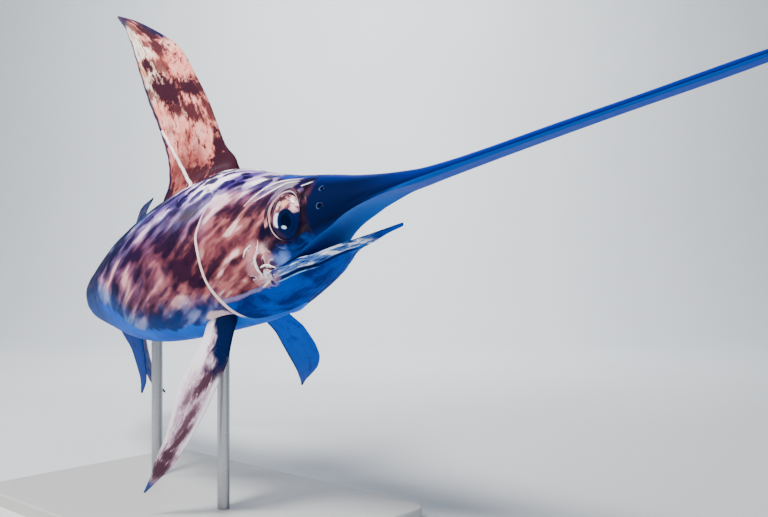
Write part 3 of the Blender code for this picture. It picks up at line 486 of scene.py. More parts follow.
back, belly, half_width = map(smooth_table, (BACK, BELLY, HALF_WIDTH))
widest, mouth_line, tuck = map(smooth_table, (WIDEST, MOUTH_LINE, TUCK))
jaw_top, jaw_half_width, keel = map(smooth_table, (JAW_TOP, JAW_HALF_WIDTH, KEEL))
gill_edge, gill_fade, fold_line = map(smooth_table, (GILL_EDGE, GILL_FADE, FOLD))


def step(low, high, value):
    """From 0 at low to 1 at high, smoothly."""
    t = np.clip((value - low) / (high - low), 0, 1)
    return t * t * (3 - 2 * t)


def drawn_in(s, z):
    """The share of the half width that is left at a height under the widest line of the upper jaw."""
    depth = np.clip((widest(s) - z) / np.maximum(widest(s) - mouth_line(s), 1e-6), 0, 1)
    return 1 - tuck(s) * depth ** 1.5


def spine_frames():
    """Stations, points and the left and up directions of the bent spine, in the head's own axes."""
    s = np.linspace(YAW[0][0], YAW[-1][0], SPINE_STEPS)
    yaw, climb, twist = (np.radians(smooth_table(table)(s)) for table in (YAW, CLIMB, TWIST))
    behind = np.stack([-np.cos(climb) * np.cos(yaw), np.cos(climb) * np.sin(yaw), np.sin(climb)], 1)
    flat_left = np.stack([np.sin(yaw), np.cos(yaw), 0 * yaw], 1)
    flat_up = np.cross(flat_left, behind)
    flat_up *= np.sign(flat_up[:, 2:3])
    c, d = np.cos(twist)[:, None], np.sin(twist)[:, None]
    left, up = c * flat_left + d * flat_up, c * flat_up - d * flat_left
    points = np.concatenate([np.zeros((1, 3)), np.cumsum((behind[1:] + behind[:-1]) / 2 * (s[1] - s[0]), 0)])
    return s, points - points[np.argmin(abs(s))], left, up


SPINE_S, SPINE_POINTS, SPINE_LEFT, SPINE_UP = spine_frames()


def along(values, s):
    return np.stack([np.interp(s, SPINE_S, values[:, i]) for i in range(3)], -1)


def place(s, side, z):
    """Head-frame points at a station, a distance to the left and a height above the spine."""
    s, side, z = np.broadcast_arrays(np.asarray(s, float), side, z)
    return along(SPINE_POINTS, s) + side[..., None] * along(SPINE_LEFT, s) + z[..., None] * along(SPINE_UP, s)


def world_axes():
    up = np.array(HEAD_UP) / np.linalg.norm(HEAD_UP)
    forward = np.array((1.0, 0.0, 0.0)) - up * up[0]
    forward /= np.linalg.norm(forward)
    return np.stack([forward, np.cross(up, forward), up])


WORLD_AXES = world_axes()


def world(points):
    return np.asarray(points) @ WORLD_AXES.T * FORK_LENGTH + np.array(FISH_AT)


def side_at(s, z):
    """Half width of the body at a station and a height."""
    top, bottom, wide, mid = back(s), belly(s), half_width(s), widest(s)
    share = np.where(z > mid, (z - mid) / (top - mid), (mid - z) / (mid - bottom))
    angle = np.arcsin(np.clip(share, 0, 1) ** (1 / SQUARENESS))
    return wide * np.cos(angle) ** SQUARENESS * drawn_in(s, z)


def mouth_angle(s):
    share = np.clip((widest(s) - mouth_line(s)) / (widest(s) - belly(s)), 0.02, 0.98)
    return np.arcsin(share ** (1 / SQUARENESS))


def section(s, angle):
    """Distance to the left and height of the plain body at a station and an angle round it."""
    top, bottom, wide, mid = back(s), belly(s), half_width(s), widest(s)
    c, d = np.cos(angle), np.sin(angle)
    side = wide * np.sign(c) * abs(c) ** SQUARENESS
    z = mid + np.sign(d) * np.where(d > 0, top - mid, mid - bottom) * abs(d) ** SQUARENESS
    return side * drawn_in(s, z) + keel(s) * np.sign(c) * np.exp(-((d / KEEL_SPREAD) ** 2)), z


def bump(value, centre, width):
    return np.exp(-(((value - centre) / width) ** 2))


def elevation(angle):
    return np.degrees(np.arcsin(np.clip(np.sin(angle), -1, 1)))


def warped(row, angle):
    """The station of a grid row, bent so that one row runs along the gill cover's edge."""
    edge = gill_edge(elevation(angle))
    ahead = GILL_FROM + (row - GILL_FROM) * (edge - GILL_FROM) / (GILL_ROW - GILL_FROM)
    behind = edge + (row - GILL_ROW) * (GILL_TO - edge) / (GILL_TO - GILL_ROW)
    straight = (row < GILL_FROM) | (row >= GILL_TO)
    return np.where(straight, row, np.where(row < GILL_ROW, ahead, behind))


def ripple(x, y, waves):
    """Smooth seeded waves between about -1 and 1, for folds of the skin."""
    close_x, close_y, seed = waves
    x, y = x * close_x, y * close_y
    random = np.random.default_rng(seed)
    total = 0.0
    for _ in range(RIPPLE_WAVES):
        turn, pitch, phase = random.uniform(0, math.pi), random.uniform(0.6, 1.9), random.uniform(0, 6.28)
        total = total + np.sin((x * np.cos(turn) + y * np.sin(turn)) * pitch + phase)
    return total / RIPPLE_SUM


def gill_relief(row, rise):
    """The gill cover's proud rear edge, with a shallow furrow behind it."""
    cover = (row <= GILL_ROW) * (step(0.190, GILL_ROW, row) + 0.30 * bump(row, GILL_ROW - 0.0018, 0.0022))
    furrow = GILL_FURROW * bump(row, GILL_ROW + 0.003, 0.003) * (row > GILL_ROW)
    return gill_fade(rise) * (GILL_PROUD * cover - furrow)


def upper_relief(row, s, angle, z, off_lip):
    """How far the skin above the mouth stands off the plain body."""
    rise = elevation(angle)
    fold = bump(row, fold_line(rise), FOLD_WIDTH) * step(*FOLD_LOW_END, rise) * step(*FOLD_HIGH_END, rise)
    around = np.hypot((s - EYE_AT[0]) / EYE_RADII[0], (z - EYE_AT[1]) / EYE_RADII[1])
    orbit = ORBIT_LIFT * step(1.45, 1.05, around) - ORBIT_DEPTH * step(1.06, 0.90, around)
    relief = gill_relief(row, rise) - FOLD_DEPTH * fold + orbit
    for s0, z0, radius in NOSTRILS:
        relief = relief - NOSTRIL_DEPTH * step(1.1, 0.7, np.hypot(s - s0, z - z0) / radius)
    ridge = UPPER_LIP_PROUD * step(0.0045, 0.0, off_lip) - UPPER_GROOVE * bump(off_lip, 0.0075, 0.0016)
    cheek = bump(s, CHEEK_AT[0], CHEEK_REACH) * bump(z, CHEEK_AT[1], CHEEK_REACH) * ripple(s, z, CHEEK_WAVES)
    flank = step(0.27, 0.34, s) * step(0.97, 0.8, s) * ripple(s, rise, FLANK_WAVES)
    lip = step(0.0, 0.03, s) * step(0.168, 0.150, s)
    return relief + lip * ridge + CHEEK_RIPPLE * cheek + FLANK_RIPPLE * flank


def lower_relief(row, s, angle, off_lip):
    """How far the jaw, throat and belly stand off the plain body."""
    rise = elevation(angle)
    lumps = 1.0 + 0.40 * ripple(s, off_lip, LIP_WAVES) * step(0.03, 0.08, s)
    ridge = LIP_PROUD * lumps * step(0.0, 0.0020, off_lip) * step(LIP_BAND, 0.8 * LIP_BAND, off_lip)
    for depth, at, width in JAW_GROOVES:
        ridge = ridge - depth * bump(off_lip, at, width)
    cheek = bump(s, CHEEK_AT[0], CHEEK_REACH) * step(0.04, 0.0, off_lip) * ripple(s, off_lip, CHEEK_WAVES)
    chin = step(0.06, 0.10, s) * step(0.19, 0.15, s) * step(-40, -60, rise) * np.sin(rise * 0.9)
    lip = step(0.012, 0.05, s) * step(0.186, 0.158, s)
    return gill_relief(row, rise) + lip * ridge + CHEEK_RIPPLE * cheek + CHIN_LINES * chin


def way_off_lip(side, z):
    """Along each row of a grid, the way over the skin to the nearer of the row's ends."""
    run = np.hypot(np.diff(side, axis=1), np.diff(z, axis=1))
    arc = np.concatenate([np.zeros((len(side), 1)), np.cumsum(run, axis=1)], axis=1)
    return np.minimum(arc, arc[:, -1:] - arc)


def upper_grid(rows, angles):
    """Points of the skin above the mouth line, with the facts that the materials read."""
    s = warped(rows[:, None], angles)
    side, z = section(s, angles)
    off_lip = way_off_lip(side, z)
    relief = upper_relief(rows[:, None], s, angles, z, off_lip)
    side, z = side + relief * np.cos(angles), z + relief * np.sin(angles)
    return place(s, side, z), s, elevation(angles), off_lip, side


def lower_grid(rows, angles):
    """Points of the jaw and throat, which runs into the belly behind the corner of the mouth."""
    s = warped(rows[:, None], angles)
    side, z = section(s, angles)
    turn = np.pi * crowded(angles.shape[1])[None, :]
    c, d = np.cos(turn), np.sin(turn)
    jaw_side = -jaw_half_width(s) * np.sign(c) * abs(c) ** SQUARENESS
    jaw_z = jaw_top(s) - (jaw_top(s) - belly(s)) * d ** SQUARENESS
    joined = step(JAW_JOINS, MOUTH_CORNER, s)
    side, z = jaw_side * (1 - joined) + side * joined, jaw_z * (1 - joined) + z * joined
    off_lip = way_off_lip(side, z)
    relief = lower_relief(rows[:, None], s, angles, off_lip)
    side = side + relief * (np.cos(angles) * joined - c * (1 - joined))
    z = z + relief * (np.sin(angles) * joined - d * (1 - joined))
    return place(s, side, z), s, elevation(angles), off_lip, side


def crowded(count):
    """Shares from 0 to 1 that lie closer together towards both ends."""
    even = np.linspace(0, 1, count)
    return 0.45 * even + 0.55 * (0.5 - 0.5 * np.cos(np.pi * even))


def add_object(name, data):
    obj = bpy.data.objects.new(name, data)
    bpy.context.scene.collection.objects.link(obj)
    return obj


def close_and_turn(work):
    """Fills the holes of a mesh and turns its faces outward."""
    holes = [edge for edge in work.edges if edge.is_boundary]
    if holes:
        bmesh.ops.holes_fill(work, edges=holes, sides=0)
    bmesh.ops.recalc_face_normals(work, faces=work.faces)
    if work.calc_volume(signed=True) < 0:
        bmesh.ops.reverse_faces(work, faces=work.faces)


def turn_from_spine(work):
    """Turns the faces of an open sheet away from the spine."""
    spine = world(SPINE_POINTS)
    turned = []
    for face in work.faces:
        centre = np.array(face.calc_center_median())
        inside = spine[np.argmin(((spine - centre) ** 2).sum(1))]
        if np.dot(np.array(face.normal), centre - inside) < 0:
            turned.append(face)
    bmesh.ops.reverse_faces(work, faces=turned)


class Patchwork:
    """Grids of points that become one mesh, with float facts on every point."""

    def __init__(self):
        self.points, self.faces, self.facts, self.count = [], [], {}, 0

    def add(self, points, flip=False, **facts):
        rows, columns = points.shape[:2]
        index = self.count + np.arange(rows * columns).reshape(rows, columns)
        a, b, c, d = index[:-1, :-1], index[:-1, 1:], index[1:, 1:], index[1:, :-1]
        quads = np.stack([a, b, c, d], -1).reshape(-1, 4)
        self.faces += (quads[:, ::-1] if flip else quads).tolist()
        self.points.append(points.reshape(-1, 3))
        for name, values in facts.items():
            self.facts.setdefault(name, []).append(np.broadcast_to(values, points.shape[:2]).reshape(-1))
        self.count += rows * columns
        return index

    def build(self, name, weld=WELD, turn=close_and_turn):
        """The mesh, smooth shaded. Facts lie on the faces' corners, so joined strips keep their own."""
        mesh = bpy.data.meshes.new(name)
        mesh.from_pydata([tuple(p) for p in world(np.concatenate(self.points)).tolist()], [], self.faces)
        corners = np.empty(len(mesh.loops), np.int32)
        mesh.loops.foreach_get("vertex_index", corners)
        for key, values in self.facts.items():
            layer = mesh.attributes.new(key, "FLOAT", "CORNER")
            layer.data.foreach_set("value", np.concatenate(values).astype(np.float32)[corners])
        work = bmesh.new()
        work.from_mesh(mesh)
        if weld:
            bmesh.ops.remove_doubles(work, verts=work.verts, dist=weld)
        turn(work)
        work.to_mesh(mesh)
        work.free()
        mesh.shade_smooth()
        return add_object(name, mesh)


def make_skin():
    rows = np.unique(np.round(np.concatenate([np.linspace(*run) for run in ROW_RUNS]), 7))
    low = mouth_angle(rows)[:, None]
    upper_angles = -low + (np.pi + 2 * low) * np.linspace(0, 1, UPPER_COLUMNS)[None, :]
    upper, s, rise, off_lip, side = upper_grid(rows, upper_angles)
    skin = Patchwork()
    skin.add(upper, **coat_facts(s, rise, off_lip, side, 0.0, rows[:, None]))

    jaw_rows = rows[rows > -TINY]
    if jaw_rows[0] > TINY:
        jaw_rows = np.concatenate([[0.0], jaw_rows])
    low = mouth_angle(jaw_rows)[:, None]
    lower_angles = np.pi + low + (np.pi - 2 * low) * crowded(LOWER_COLUMNS)[None, :]
    lower, s, rise, off_lip, side = lower_grid(jaw_rows, lower_angles)
    lower[jaw_rows >= MOUTH_CORNER - NEAR, 0] = upper[rows >= MOUTH_CORNER - NEAR, -1]
    lower[jaw_rows >= MOUTH_CORNER - NEAR, -1] = upper[rows >= MOUTH_CORNER - NEAR, 0]
    skin.add(lower, **coat_facts(s, rise, off_lip, side, 1.0, jaw_rows[:, None]))

    # Behind the corner of the mouth its roof and its floor meet along two seams that run inward.
    inner = np.linspace(MOUTH_CORNER, MOUTH_END, SEAM_ROWS)[1:]
    pull = ((inner - MOUTH_CORNER) / (MOUTH_END - MOUTH_CORNER))[:, None]
    deep = place(inner, 0.0, SEAM_HEIGHT)
    corners = upper[np.argmin(abs(rows - MOUTH_CORNER)), [0, -1]]
    seams = [corner * (1 - pull) + deep * pull + (corner - deep) * SEAM_SPREAD * pull for corner in corners]
    roof = (rows, upper, (0, -1), ROOF_ARCH, ROOF_ONSET, True)
    floor = (jaw_rows, lower, (-1, 0), -FLOOR_SAG, FLOOR_ONSET, False)
    for stations, grid, columns, height, onset, flip in (roof, floor):
        front = stations <= MOUTH_CORNER + NEAR
        edges = [np.concatenate([grid[front, column], seam]) for column, seam in zip(columns, seams)]
        stations = np.concatenate([stations[front], inner])
        arch = height * step(*onset, stations) * step(*ARCH_END, stations)
        add_lining(skin, stations, *edges, arch, flip)
    return skin.build("skin")


def add_lining(skin, rows, left, right, arch, flip):
    """The roof or the floor of the mouth, between the two lips."""
    share = np.linspace(0, 1, INNER_COLUMNS)[None, :]
    lift = (1 - (2 * share - 1) ** 2) * arch[:, None]
    stations = np.broadcast_to(rows[:, None], lift.shape)
    points = left[:, None] * (1 - share[..., None]) + right[:, None] * share[..., None]
    points = points + lift[..., None] * along(SPINE_UP, stations)
    facts = coat_facts(stations, -90.0, 0.02, 0.03 * share - 0.015, 1.0, rows[:, None])
    facts["lining"] = np.ones(lift.shape)
    skin.add(points, flip=flip, **facts)


def coat_facts(s, rise, off_lip, side, below, row):
    """Float facts for the skin's colours: smooth distances, so that a line drawn from one stays sharp."""
    shape = np.broadcast(s, rise, off_lip, side, row).shape
    s, rise, off_lip, side, row = (np.broadcast_to(v, shape) for v in (s, rise, off_lip, side, row))
    radius = 0.5 * (back(s) - belly(s))
    return {
        "station": s,
        "rise": rise / 90.0,
        "girth": rise / DEGREES_OF_RADIAN * radius,
        "side": side,
        "gill_gap": row - GILL_ROW,
        "off_lip": off_lip,
        "below": np.full(shape, below),
        "lining": np.zeros(shape),
        "socket_rim": np.zeros(shape),
    }


def surface_frame(s, z, sign):
    """A point of the head's side, and the directions to the rear, up the skin and out of it."""

    def at(a, b):
        return place(a, sign * side_at(a, b), b)

    rear = at(s + NEIGHBOUR, z) - at(s - NEIGHBOUR, z)
    rise = at(s, z + NEIGHBOUR) - at(s, z - NEIGHBOUR)
    out = np.cross(rear, rise)
    out *= sign * np.sign(out[1]) / np.linalg.norm(out)
    rear /= np.linalg.norm(rear)
    rise = np.cross(out, rear)
    return at(s, z), rear, rise * np.sign(rise[2]), out


def collar(skin, s0, z0, radii, profile, sign, columns):
    """A ring of skin round an opening. The profile gives shares of the radii, heights off the body, and the
    rim's painted highlight and shade.
    """
    turn = np.linspace(0, 2 * np.pi, columns + 1)[None, :]
    share, height, rim_light_and_shade = (column[:, None] for column in np.array(profile).T)
    s, z = s0 + radii[0] * share * np.cos(turn), z0 + radii[1] * share * np.sin(turn)
    side = side_at(s, z)
    angle = np.arctan2(z - widest(s), np.maximum(side, 1e-4))
    side, lifted = side + height * np.cos(angle), z + height * np.sin(angle)
    facts = coat_facts(s, np.degrees(angle), 0.03, sign * side, 0.0, s)
    facts["socket_rim"] = np.broadcast_to(rim_light_and_shade, s.shape)
    skin.add(place(s, sign * side, lifted), **facts)


def make_rims():
    rims = Patchwork()
    for sign in (1, -1):
        collar(rims, *EYE_AT, EYE_RADII, ORBIT_PROFILE, sign, ORBIT_COLUMNS)
        for s0, z0, radius in NOSTRILS:
            collar(rims, s0, z0, (radius, radius), NOSTRIL_PROFILE, sign, NOSTRIL_COLUMNS)
    return rims.build("orbit_and_nostril_rims", turn=turn_from_spine)


def make_eye(name, sign):
    """A clear domed ball, deeper behind than in front."""
    here, rear, rise, out = surface_frame(*EYE_AT, sign)
    polar = np.linspace(EYE_POLE, np.pi - EYE_POLE, EYE_GRID[0])[:, None]
    turn = np.linspace(0, 2 * np.pi, EYE_GRID[1])[None, :]
    depth = np.where(np.cos(polar) > 0, EYE_BULGE, EYE_DEPTH)
    across = np.cos(turn) * np.sin(polar) * EYE_FIT
    upward = np.sin(turn) * np.sin(polar) * EYE_FIT
    points = (
        here - out * EYE_SUNK
        + across[..., None] * rear * EYE_RADII[0]
        + upward[..., None] * rise * EYE_RADII[1]
        + (depth * np.cos(polar))[..., None] * out
    )
    ball = Patchwork()
    ball.add(points, across=across * EYE_RADII[0] / EYE_RADII[1], upward=upward)
    return ball.build(name)


def median(s, z, side):
    return place(s, side, z)


def paddle(origin, span, root_chord, outer_chord):
    """The frame of a paired fin: a distance along its chord, one along its span, and one through it."""
    directions = (np.array(v, float) for v in (span, root_chord, outer_chord))
    span, root_chord, outer_chord = (v / np.linalg.norm(v) for v in directions)
    across = np.cross(span, root_chord)
    across /= np.linalg.norm(across)

    def frame_at(a, b, side):
        a, b, side = (np.asarray(v, float)[..., None] for v in (a, b, side))
        turn = step(0, CHORD_TURN, b)
        chord = root_chord * (1 - turn) + outer_chord * turn
        chord = chord / np.linalg.norm(chord, axis=-1, keepdims=True)
        through = np.cross(span, chord)
        through = through / np.linalg.norm(through, axis=-1, keepdims=True)
        bent = CUP * np.clip(b, 0, 1) ** 2 * across
        return np.array(origin) + a * chord + b * span + side * through + bent

    return frame_at


def above_back(a, b):
    return abs(b) - np.where(b > 0, back(a), -belly(a))


def above_tail(a, b):
    return abs(b) - abs(back(a)) * step(1.03, 0.98, a)


def along_paddle(a, b):
    return b + 0 * a


class Fin:
    """A fin's two edges, its frame, its thickness and its rays."""

    def __init__(self, name, node, front, rear, rays, thick, flare, scallop):
        self.name, self.node, self.rays, self.thick, self.flare = name, node, rays, thick, flare
        self.front, self.rear, self.scallop = smooth_table(front), smooth_table(rear), scallop
        self.frame_at, self.clearance = median, above_tail if "caudal" in name else above_back
        if "pectoral" in name:
            self.frame_at = paddle(*(PECTORAL_RIGHT if "right" in name else PECTORAL_LEFT))
            self.clearance = along_paddle

    def outline(self, u, v):
        lead, trail = self.front(u), self.rear(u)
        length = np.maximum(np.linalg.norm(trail - lead, axis=-1, keepdims=True), 1e-6)
        nick = self.scallop * (0.5 + 0.5 * np.sin(u * NICK_WAVES)) * step(0.06, 0.2, u) * step(1.0, 0.85, u)
        trail = trail - (trail - lead) / length * nick[..., None]
        return lead * (1 - v[..., None]) + trail * v[..., None]

    def half(self, u, v, a, b):
        """Half the thickness, which flares where the fin meets the body."""
        round_edge = np.sqrt(np.clip(1 - (2 * v - 1) ** 2, 0, 1))
        body = self.thick * np.clip(1 - u, 0, 1) ** 0.8 * (0.25 + 0.75 * round_edge) + LEAST_HALF
        off = np.clip(self.clearance(a, b), 0, 1)
        return body + self.flare * np.exp(-off / FLARE_REACH) * round_edge ** 0.7

    def point(self, u, v, sign, extra=0.0):
        u, v = np.broadcast_arrays(u, v)
        flat = self.outline(u, v)
        a, b = flat[..., 0], flat[..., 1]
        return self.frame_at(a, b, sign * (self.half(u, v, a, b) + extra))

    def sheet(self, rows, columns):
        """Both faces and the walls round them, as one closed mesh."""
        u = np.linspace(0, 1, rows)[:, None]
        v = (0.5 - 0.5 * np.cos(np.pi * np.linspace(0, 1, columns)))[None, :]
        ray = np.cos(2 * np.pi * self.rays * v) * RAY_WAVE * (1 - u)
        work = Patchwork()
        first = work.add(self.point(u, v, 1, ray), span=u, chord=v)
        second = work.add(self.point(u, v, -1, ray), flip=True, span=u, chord=v)
        ring = [(0, j) for j in range(columns)] + [(i, columns - 1) for i in range(1, rows)]
        ring += [(rows - 1, j) for j in range(columns - 2, -1, -1)] + [(i, 0) for i in range(rows - 2, 0, -1)]
        for here, after in zip(ring, ring[1:] + ring[:1]):
            work.faces.append([int(first[after]), int(first[here]), int(second[here]), int(second[after])])
        return work.build(self.name, weld=0.0)

    def ray_lines(self):
        """Centre lines of the rays on both faces, with their radius."""
        u = np.linspace(*RAY_SPAN, RAY_STEPS)
        radius = RAY_RADIUS * (1 - RAY_TAPER * u) * min(1.0, CROWDED_RAYS / self.rays)
        lines, chords = [], []
        for k in range(self.rays):
            v = 0.5 - 0.5 * math.cos(math.pi * (0.04 + 0.92 * (k + 0.5) / self.rays))
            for sign in (1, -1):
                chords.append(np.full(RAY_STEPS, v))
                lines.append(self.point(u, chords[-1], sign, -RAY_SUNK))
        spans, radii = [u] * len(lines), [radius] * len(lines)
        return line_object(self.name + "_rays", lines, ray_radius=radii, span=spans, chord=chords)


def line_object(name, lines, **facts):
    """Open lines through points, with float facts on each point, for the rib tree."""
    points, edges = [], []
    for line in lines:
        start = len(points)
        points += world(line).tolist()
        edges += [(start + i, start + i + 1) for i in range(len(line) - 1)]
    mesh = bpy.data.meshes.new(name)
    mesh.from_pydata(points, edges, [])
    for key, values in facts.items():
        layer = mesh.attributes.new(key, "FLOAT", "POINT")
        layer.data.foreach_set("value", np.concatenate(values).astype(np.float32))
    return add_object(name, mesh)


def ridge_lines(name, ridges):
    """Low ridges on both sides of the head, as lines on the skin that swell and taper."""
    lines, radii = [], []
    share = np.linspace(0, 1, RIDGE_STEPS)
    taper = np.sin(np.pi * np.linspace(0.03, 0.97, RIDGE_STEPS)) ** 0.6
    for sign in (1, -1):
        for k, (radius, points) in enumerate(ridges):
            path = smooth_table([(i, *point) for i, point in enumerate(points)])(share * (len(points) - 1))
            s, rise = path[..., 0], path[..., 1]
            side, z = section(s, np.radians(rise if sign > 0 else 180 - rise))
            sunk = RIDGE_SUNK * radius / FORK_LENGTH
            turn = np.radians(rise)
            lines.append(place(s, side - sign * sunk * np.cos(turn), z - sunk * np.sin(turn)))
            radii.append(radius * (1.0 + 0.35 * ripple(share, k, RIDGE_WAVES)) * taper)
    return line_object(name, lines, ray_radius=radii)


def rib_lines(fin):
    """The white rib that crosses the dorsal fin's rear root, on both faces."""
    table = smooth_table([(u, u, v) for u, v in RIB])
    path = table(np.linspace(RIB[0][0], RIB[-1][0], RIDGE_STEPS))
    lines = [fin.point(path[..., 0], path[..., 1], sign, 0.0002) for sign in (1, -1)]
    radii = [RIB_RADIUS * np.linspace(1.0, 0.7, RIDGE_STEPS)] * 2
    return line_object("dorsal_fin_white_rib", lines, ray_radius=radii)


def rib_tree():
    """Sweeps a small round section along the lines of a mesh, with the radius that its points carry."""
    tree = bpy.data.node_groups.new("fin_ray_ribs", "GeometryNodeTree")
    inputs = {}
    for name, kind in RIB_INPUTS.items():
        inputs[name] = tree.interface.new_socket(name, in_out="INPUT", socket_type="NodeSocket" + kind)
    tree.interface.new_socket("Ribs", in_out="OUTPUT", socket_type="NodeSocketGeometry")
    made = {name: tree.nodes.new(kind) for name, kind in RIB_NODES.items()}
    made["radius"].data_type = "FLOAT"
    made["radius"].inputs["Name"].default_value = "ray_radius"
    made["scale"].operation = "MULTIPLY"
    made["circle"].inputs["Radius"].default_value = 1.0
    made["sweep"].inputs["Fill Caps"].default_value = True
    for source, output, target, socket in RIB_LINKS:
        tree.links.new(made[source].outputs[output], made[target].inputs[socket])
    return tree, inputs["Rib size"].identifier, inputs["Sides"].identifier, inputs["Finish"].identifier


def swept(obj, tree, finish, sides=RAY_SIDES):
    """The lines of an object swept into ribs by the Geometry Nodes tree, as a plain mesh."""
    group, size_id, sides_id, finish_id = tree
    modifier = obj.modifiers.new("ribs", "NODES")
    modifier.node_group = group
    modifier[size_id], modifier[sides_id], modifier[finish_id] = 1.0, sides, finish
    mesh = bpy.data.meshes.new_from_object(obj.evaluated_get(bpy.context.evaluated_depsgraph_get()))
    obj.modifiers.clear()
    lines, obj.data = obj.data, mesh
    bpy.data.meshes.remove(lines)
    return put_on(obj, finish)


def lower(rows):
    return tuple((u, s, -z) for u, s, z in rows)


# Paint, piece, node, edges, rays, half thickness, flare at the root, and nicks of the rear edge.
FIN_FORMS = (
    ("dorsal_fin_paint", "dorsal_fin_skin", "dorsal_fin_1",
     DORSAL_FRONT, DORSAL_REAR, 34, 0.0032, 0.0085, 0.0010),
    ("anal_fin_paint", "anal_fin_skin", "anal_fin_1",
     ANAL_FRONT, ANAL_REAR, 14, 0.0022, 0.0030, 0.0006),
    ("rear_fin_paint", "dorsal_finlet_skin", "dorsal_fin_2",
     SMALL_FRONT, SMALL_REAR, 4, 0.0012, 0.0014, 0.0),
    ("anal_fin_paint", "anal_finlet_skin", "anal_fin_2",
     lower(SMALL_FRONT), lower(SMALL_REAR), 4, 0.0012, 0.0014, 0.0),
    ("tail_fin_paint", "caudal_upper_skin", "caudal_fin_upper",
     TAIL_FRONT, TAIL_REAR, 17, 0.0030, 0.0028, 0.0),
    ("tail_fin_paint", "caudal_lower_skin", "caudal_fin_lower",
     lower(TAIL_FRONT), lower(TAIL_REAR), 17, 0.0030, 0.0028, 0.0),
    ("pectoral_fin_paint", "pectoral_right_skin", "pectoral_fin_right",
     RIGHT_PECTORAL_FRONT, RIGHT_PECTORAL_REAR, 18, 0.0028, 0.0040, 0.0),
    ("rear_fin_paint", "pectoral_left_skin", "pectoral_fin_left",
     LEFT_PECTORAL_FRONT, LEFT_PECTORAL_REAR, 18, 0.0028, 0.0040, 0.0),
)


class Wire:
    """A shader socket that takes part in Python arithmetic."""

    def __init__(self, paint, socket):
        self.paint, self.socket = paint, socket

    def math(self, operation, *values):
        return self.paint.node("ShaderNodeMath", {"operation": operation}, values)

    def __add__(self, other):
        return self.math("ADD", self, other)

    def __sub__(self, other):
        return self.math("SUBTRACT", self, other)

    def __rsub__(self, other):
        return self.math("SUBTRACT", other, self)

    def __mul__(self, other):
        return self.math("MULTIPLY", self, other)

    def __truediv__(self, other):
        return self.math("DIVIDE", self, other)

    def __pow__(self, other):
        return self.math("POWER", self, other)

    __radd__, __rmul__ = __add__, __mul__

    def most(self, other):
        return self.math("MAXIMUM", self, other)

    def least(self, other):
        return self.math("MINIMUM", self, other)

    def distance(self):
        return self.math("ABSOLUTE", self)

    def ease(self, low, high):
        """0 below low and 1 above high, smoothly. It falls instead if low is above high."""
        values = {"Value": self, "From Min": min(low, high), "From Max": max(low, high)}
        values["To Min"], values["To Max"] = (0.0, 1.0) if low < high else (1.0, 0.0)
        return self.paint.node("ShaderNodeMapRange", {"interpolation_type": "SMOOTHSTEP"}, values)


def srgb(*colour):
    """The renderer's linear values of a colour that is given in steps up to 255."""
    share = np.array(colour) / 255.0
    linear = np.where(share <= 0.04045, share / 12.92, ((share + 0.055) / 1.055) ** 2.4)
    return (*linear.tolist(), 1.0)


class Paint:
    """One material: its nodes, and the colour that its layers have reached."""

    def __init__(self, name):
        self.material = bpy.data.materials.new(name)
        self.material.use_nodes = True
        self.tree = self.material.node_tree
        self.shader = next(n for n in self.tree.nodes if n.type == "BSDF_PRINCIPLED")
        self.colour = None

    def plug(self, socket, value):
        if isinstance(value, Wire):
            self.tree.links.new(value.socket, socket)
        else:
            socket.default_value = value

    def node(self, kind, settings=None, values=(), output=0):
        made = self.tree.nodes.new(kind)
        for key, value in (settings or {}).items():
            setattr(made, key, value)
        for key, value in values.items() if isinstance(values, dict) else enumerate(values):
            self.plug(made.inputs[key], value)
        return Wire(self, made.outputs[output])

    def fact(self, name):
        return self.node("ShaderNodeAttribute", {"attribute_name": name}, output="Fac")

    def place(self):
        return self.node("ShaderNodeTexCoord", output="Object")

    def vector(self, *parts):
        return self.node("ShaderNodeCombineXYZ", values=parts)

    def noise(self, vector, scale, detail=3.0, rough=0.5, twist=0.0):
        values = {"Vector": vector, "Scale": scale, "Detail": detail, "Roughness": rough}
        values["Distortion"] = twist
        return self.node("ShaderNodeTexNoise", values=values, output="Fac")

    def cells(self, vector):
        return self.node("ShaderNodeTexVoronoi", values={"Vector": vector, "Scale": 1.0}, output="Distance")

    def mix(self, share, first, second):
        made = self.tree.nodes.new("ShaderNodeMix")
        made.data_type, made.clamp_factor = "RGBA", True
        for socket, value in ((0, share), (6, first), (7, second)):
            self.plug(made.inputs[socket], srgb(*value) if isinstance(value, tuple) else value)
        return Wire(self, made.outputs[2])

    def blend(self, value, ramp):
        """The colours of a ramp: one, then the others, each with the values where it begins and is full."""
        colour, *steps = ramp
        for begin, full, after in steps:
            colour = self.mix(value.ease(begin, full), colour, after)
        return colour

    def lay(self, share, over):
        """Puts a colour over what the layers have reached."""
        self.colour = self.mix(share, self.colour, over)

    def bump(self, height, strength, depth, **below):
        values = {"Height": height, "Strength": strength, "Distance": depth, **below}
        return self.node("ShaderNodeBump", values=values, output="Normal")

    def finish(self, roughness, coat_roughness=0.2, **sockets):
        """Joins the colour and the rest to the shader, whose sockets are given by SHADER_SOCKETS."""
        sockets.update(colour=self.colour, roughness=roughness, coat_roughness=coat_roughness)
        for key, value in sockets.items():
            self.plug(self.shader.inputs[SHADER_SOCKETS[key]], value)
        return self.material


def oval(across, upward, wide, high):
    """1 in the middle of an oval, and 0 at its edge and beyond."""
    return 1.0 - ((across / wide) ** 2 + (upward / high) ** 2).least(1.0)


def spots(paint, at, along_streak, over_streak, through, stray):
    """Cells that are drawn out along the streaks, with wandering edges."""
    stray = at.wander * stray
    return paint.cells(
        paint.vector(at.climb * along_streak + stray, at.across * over_streak + stray, at.side * through)
    )


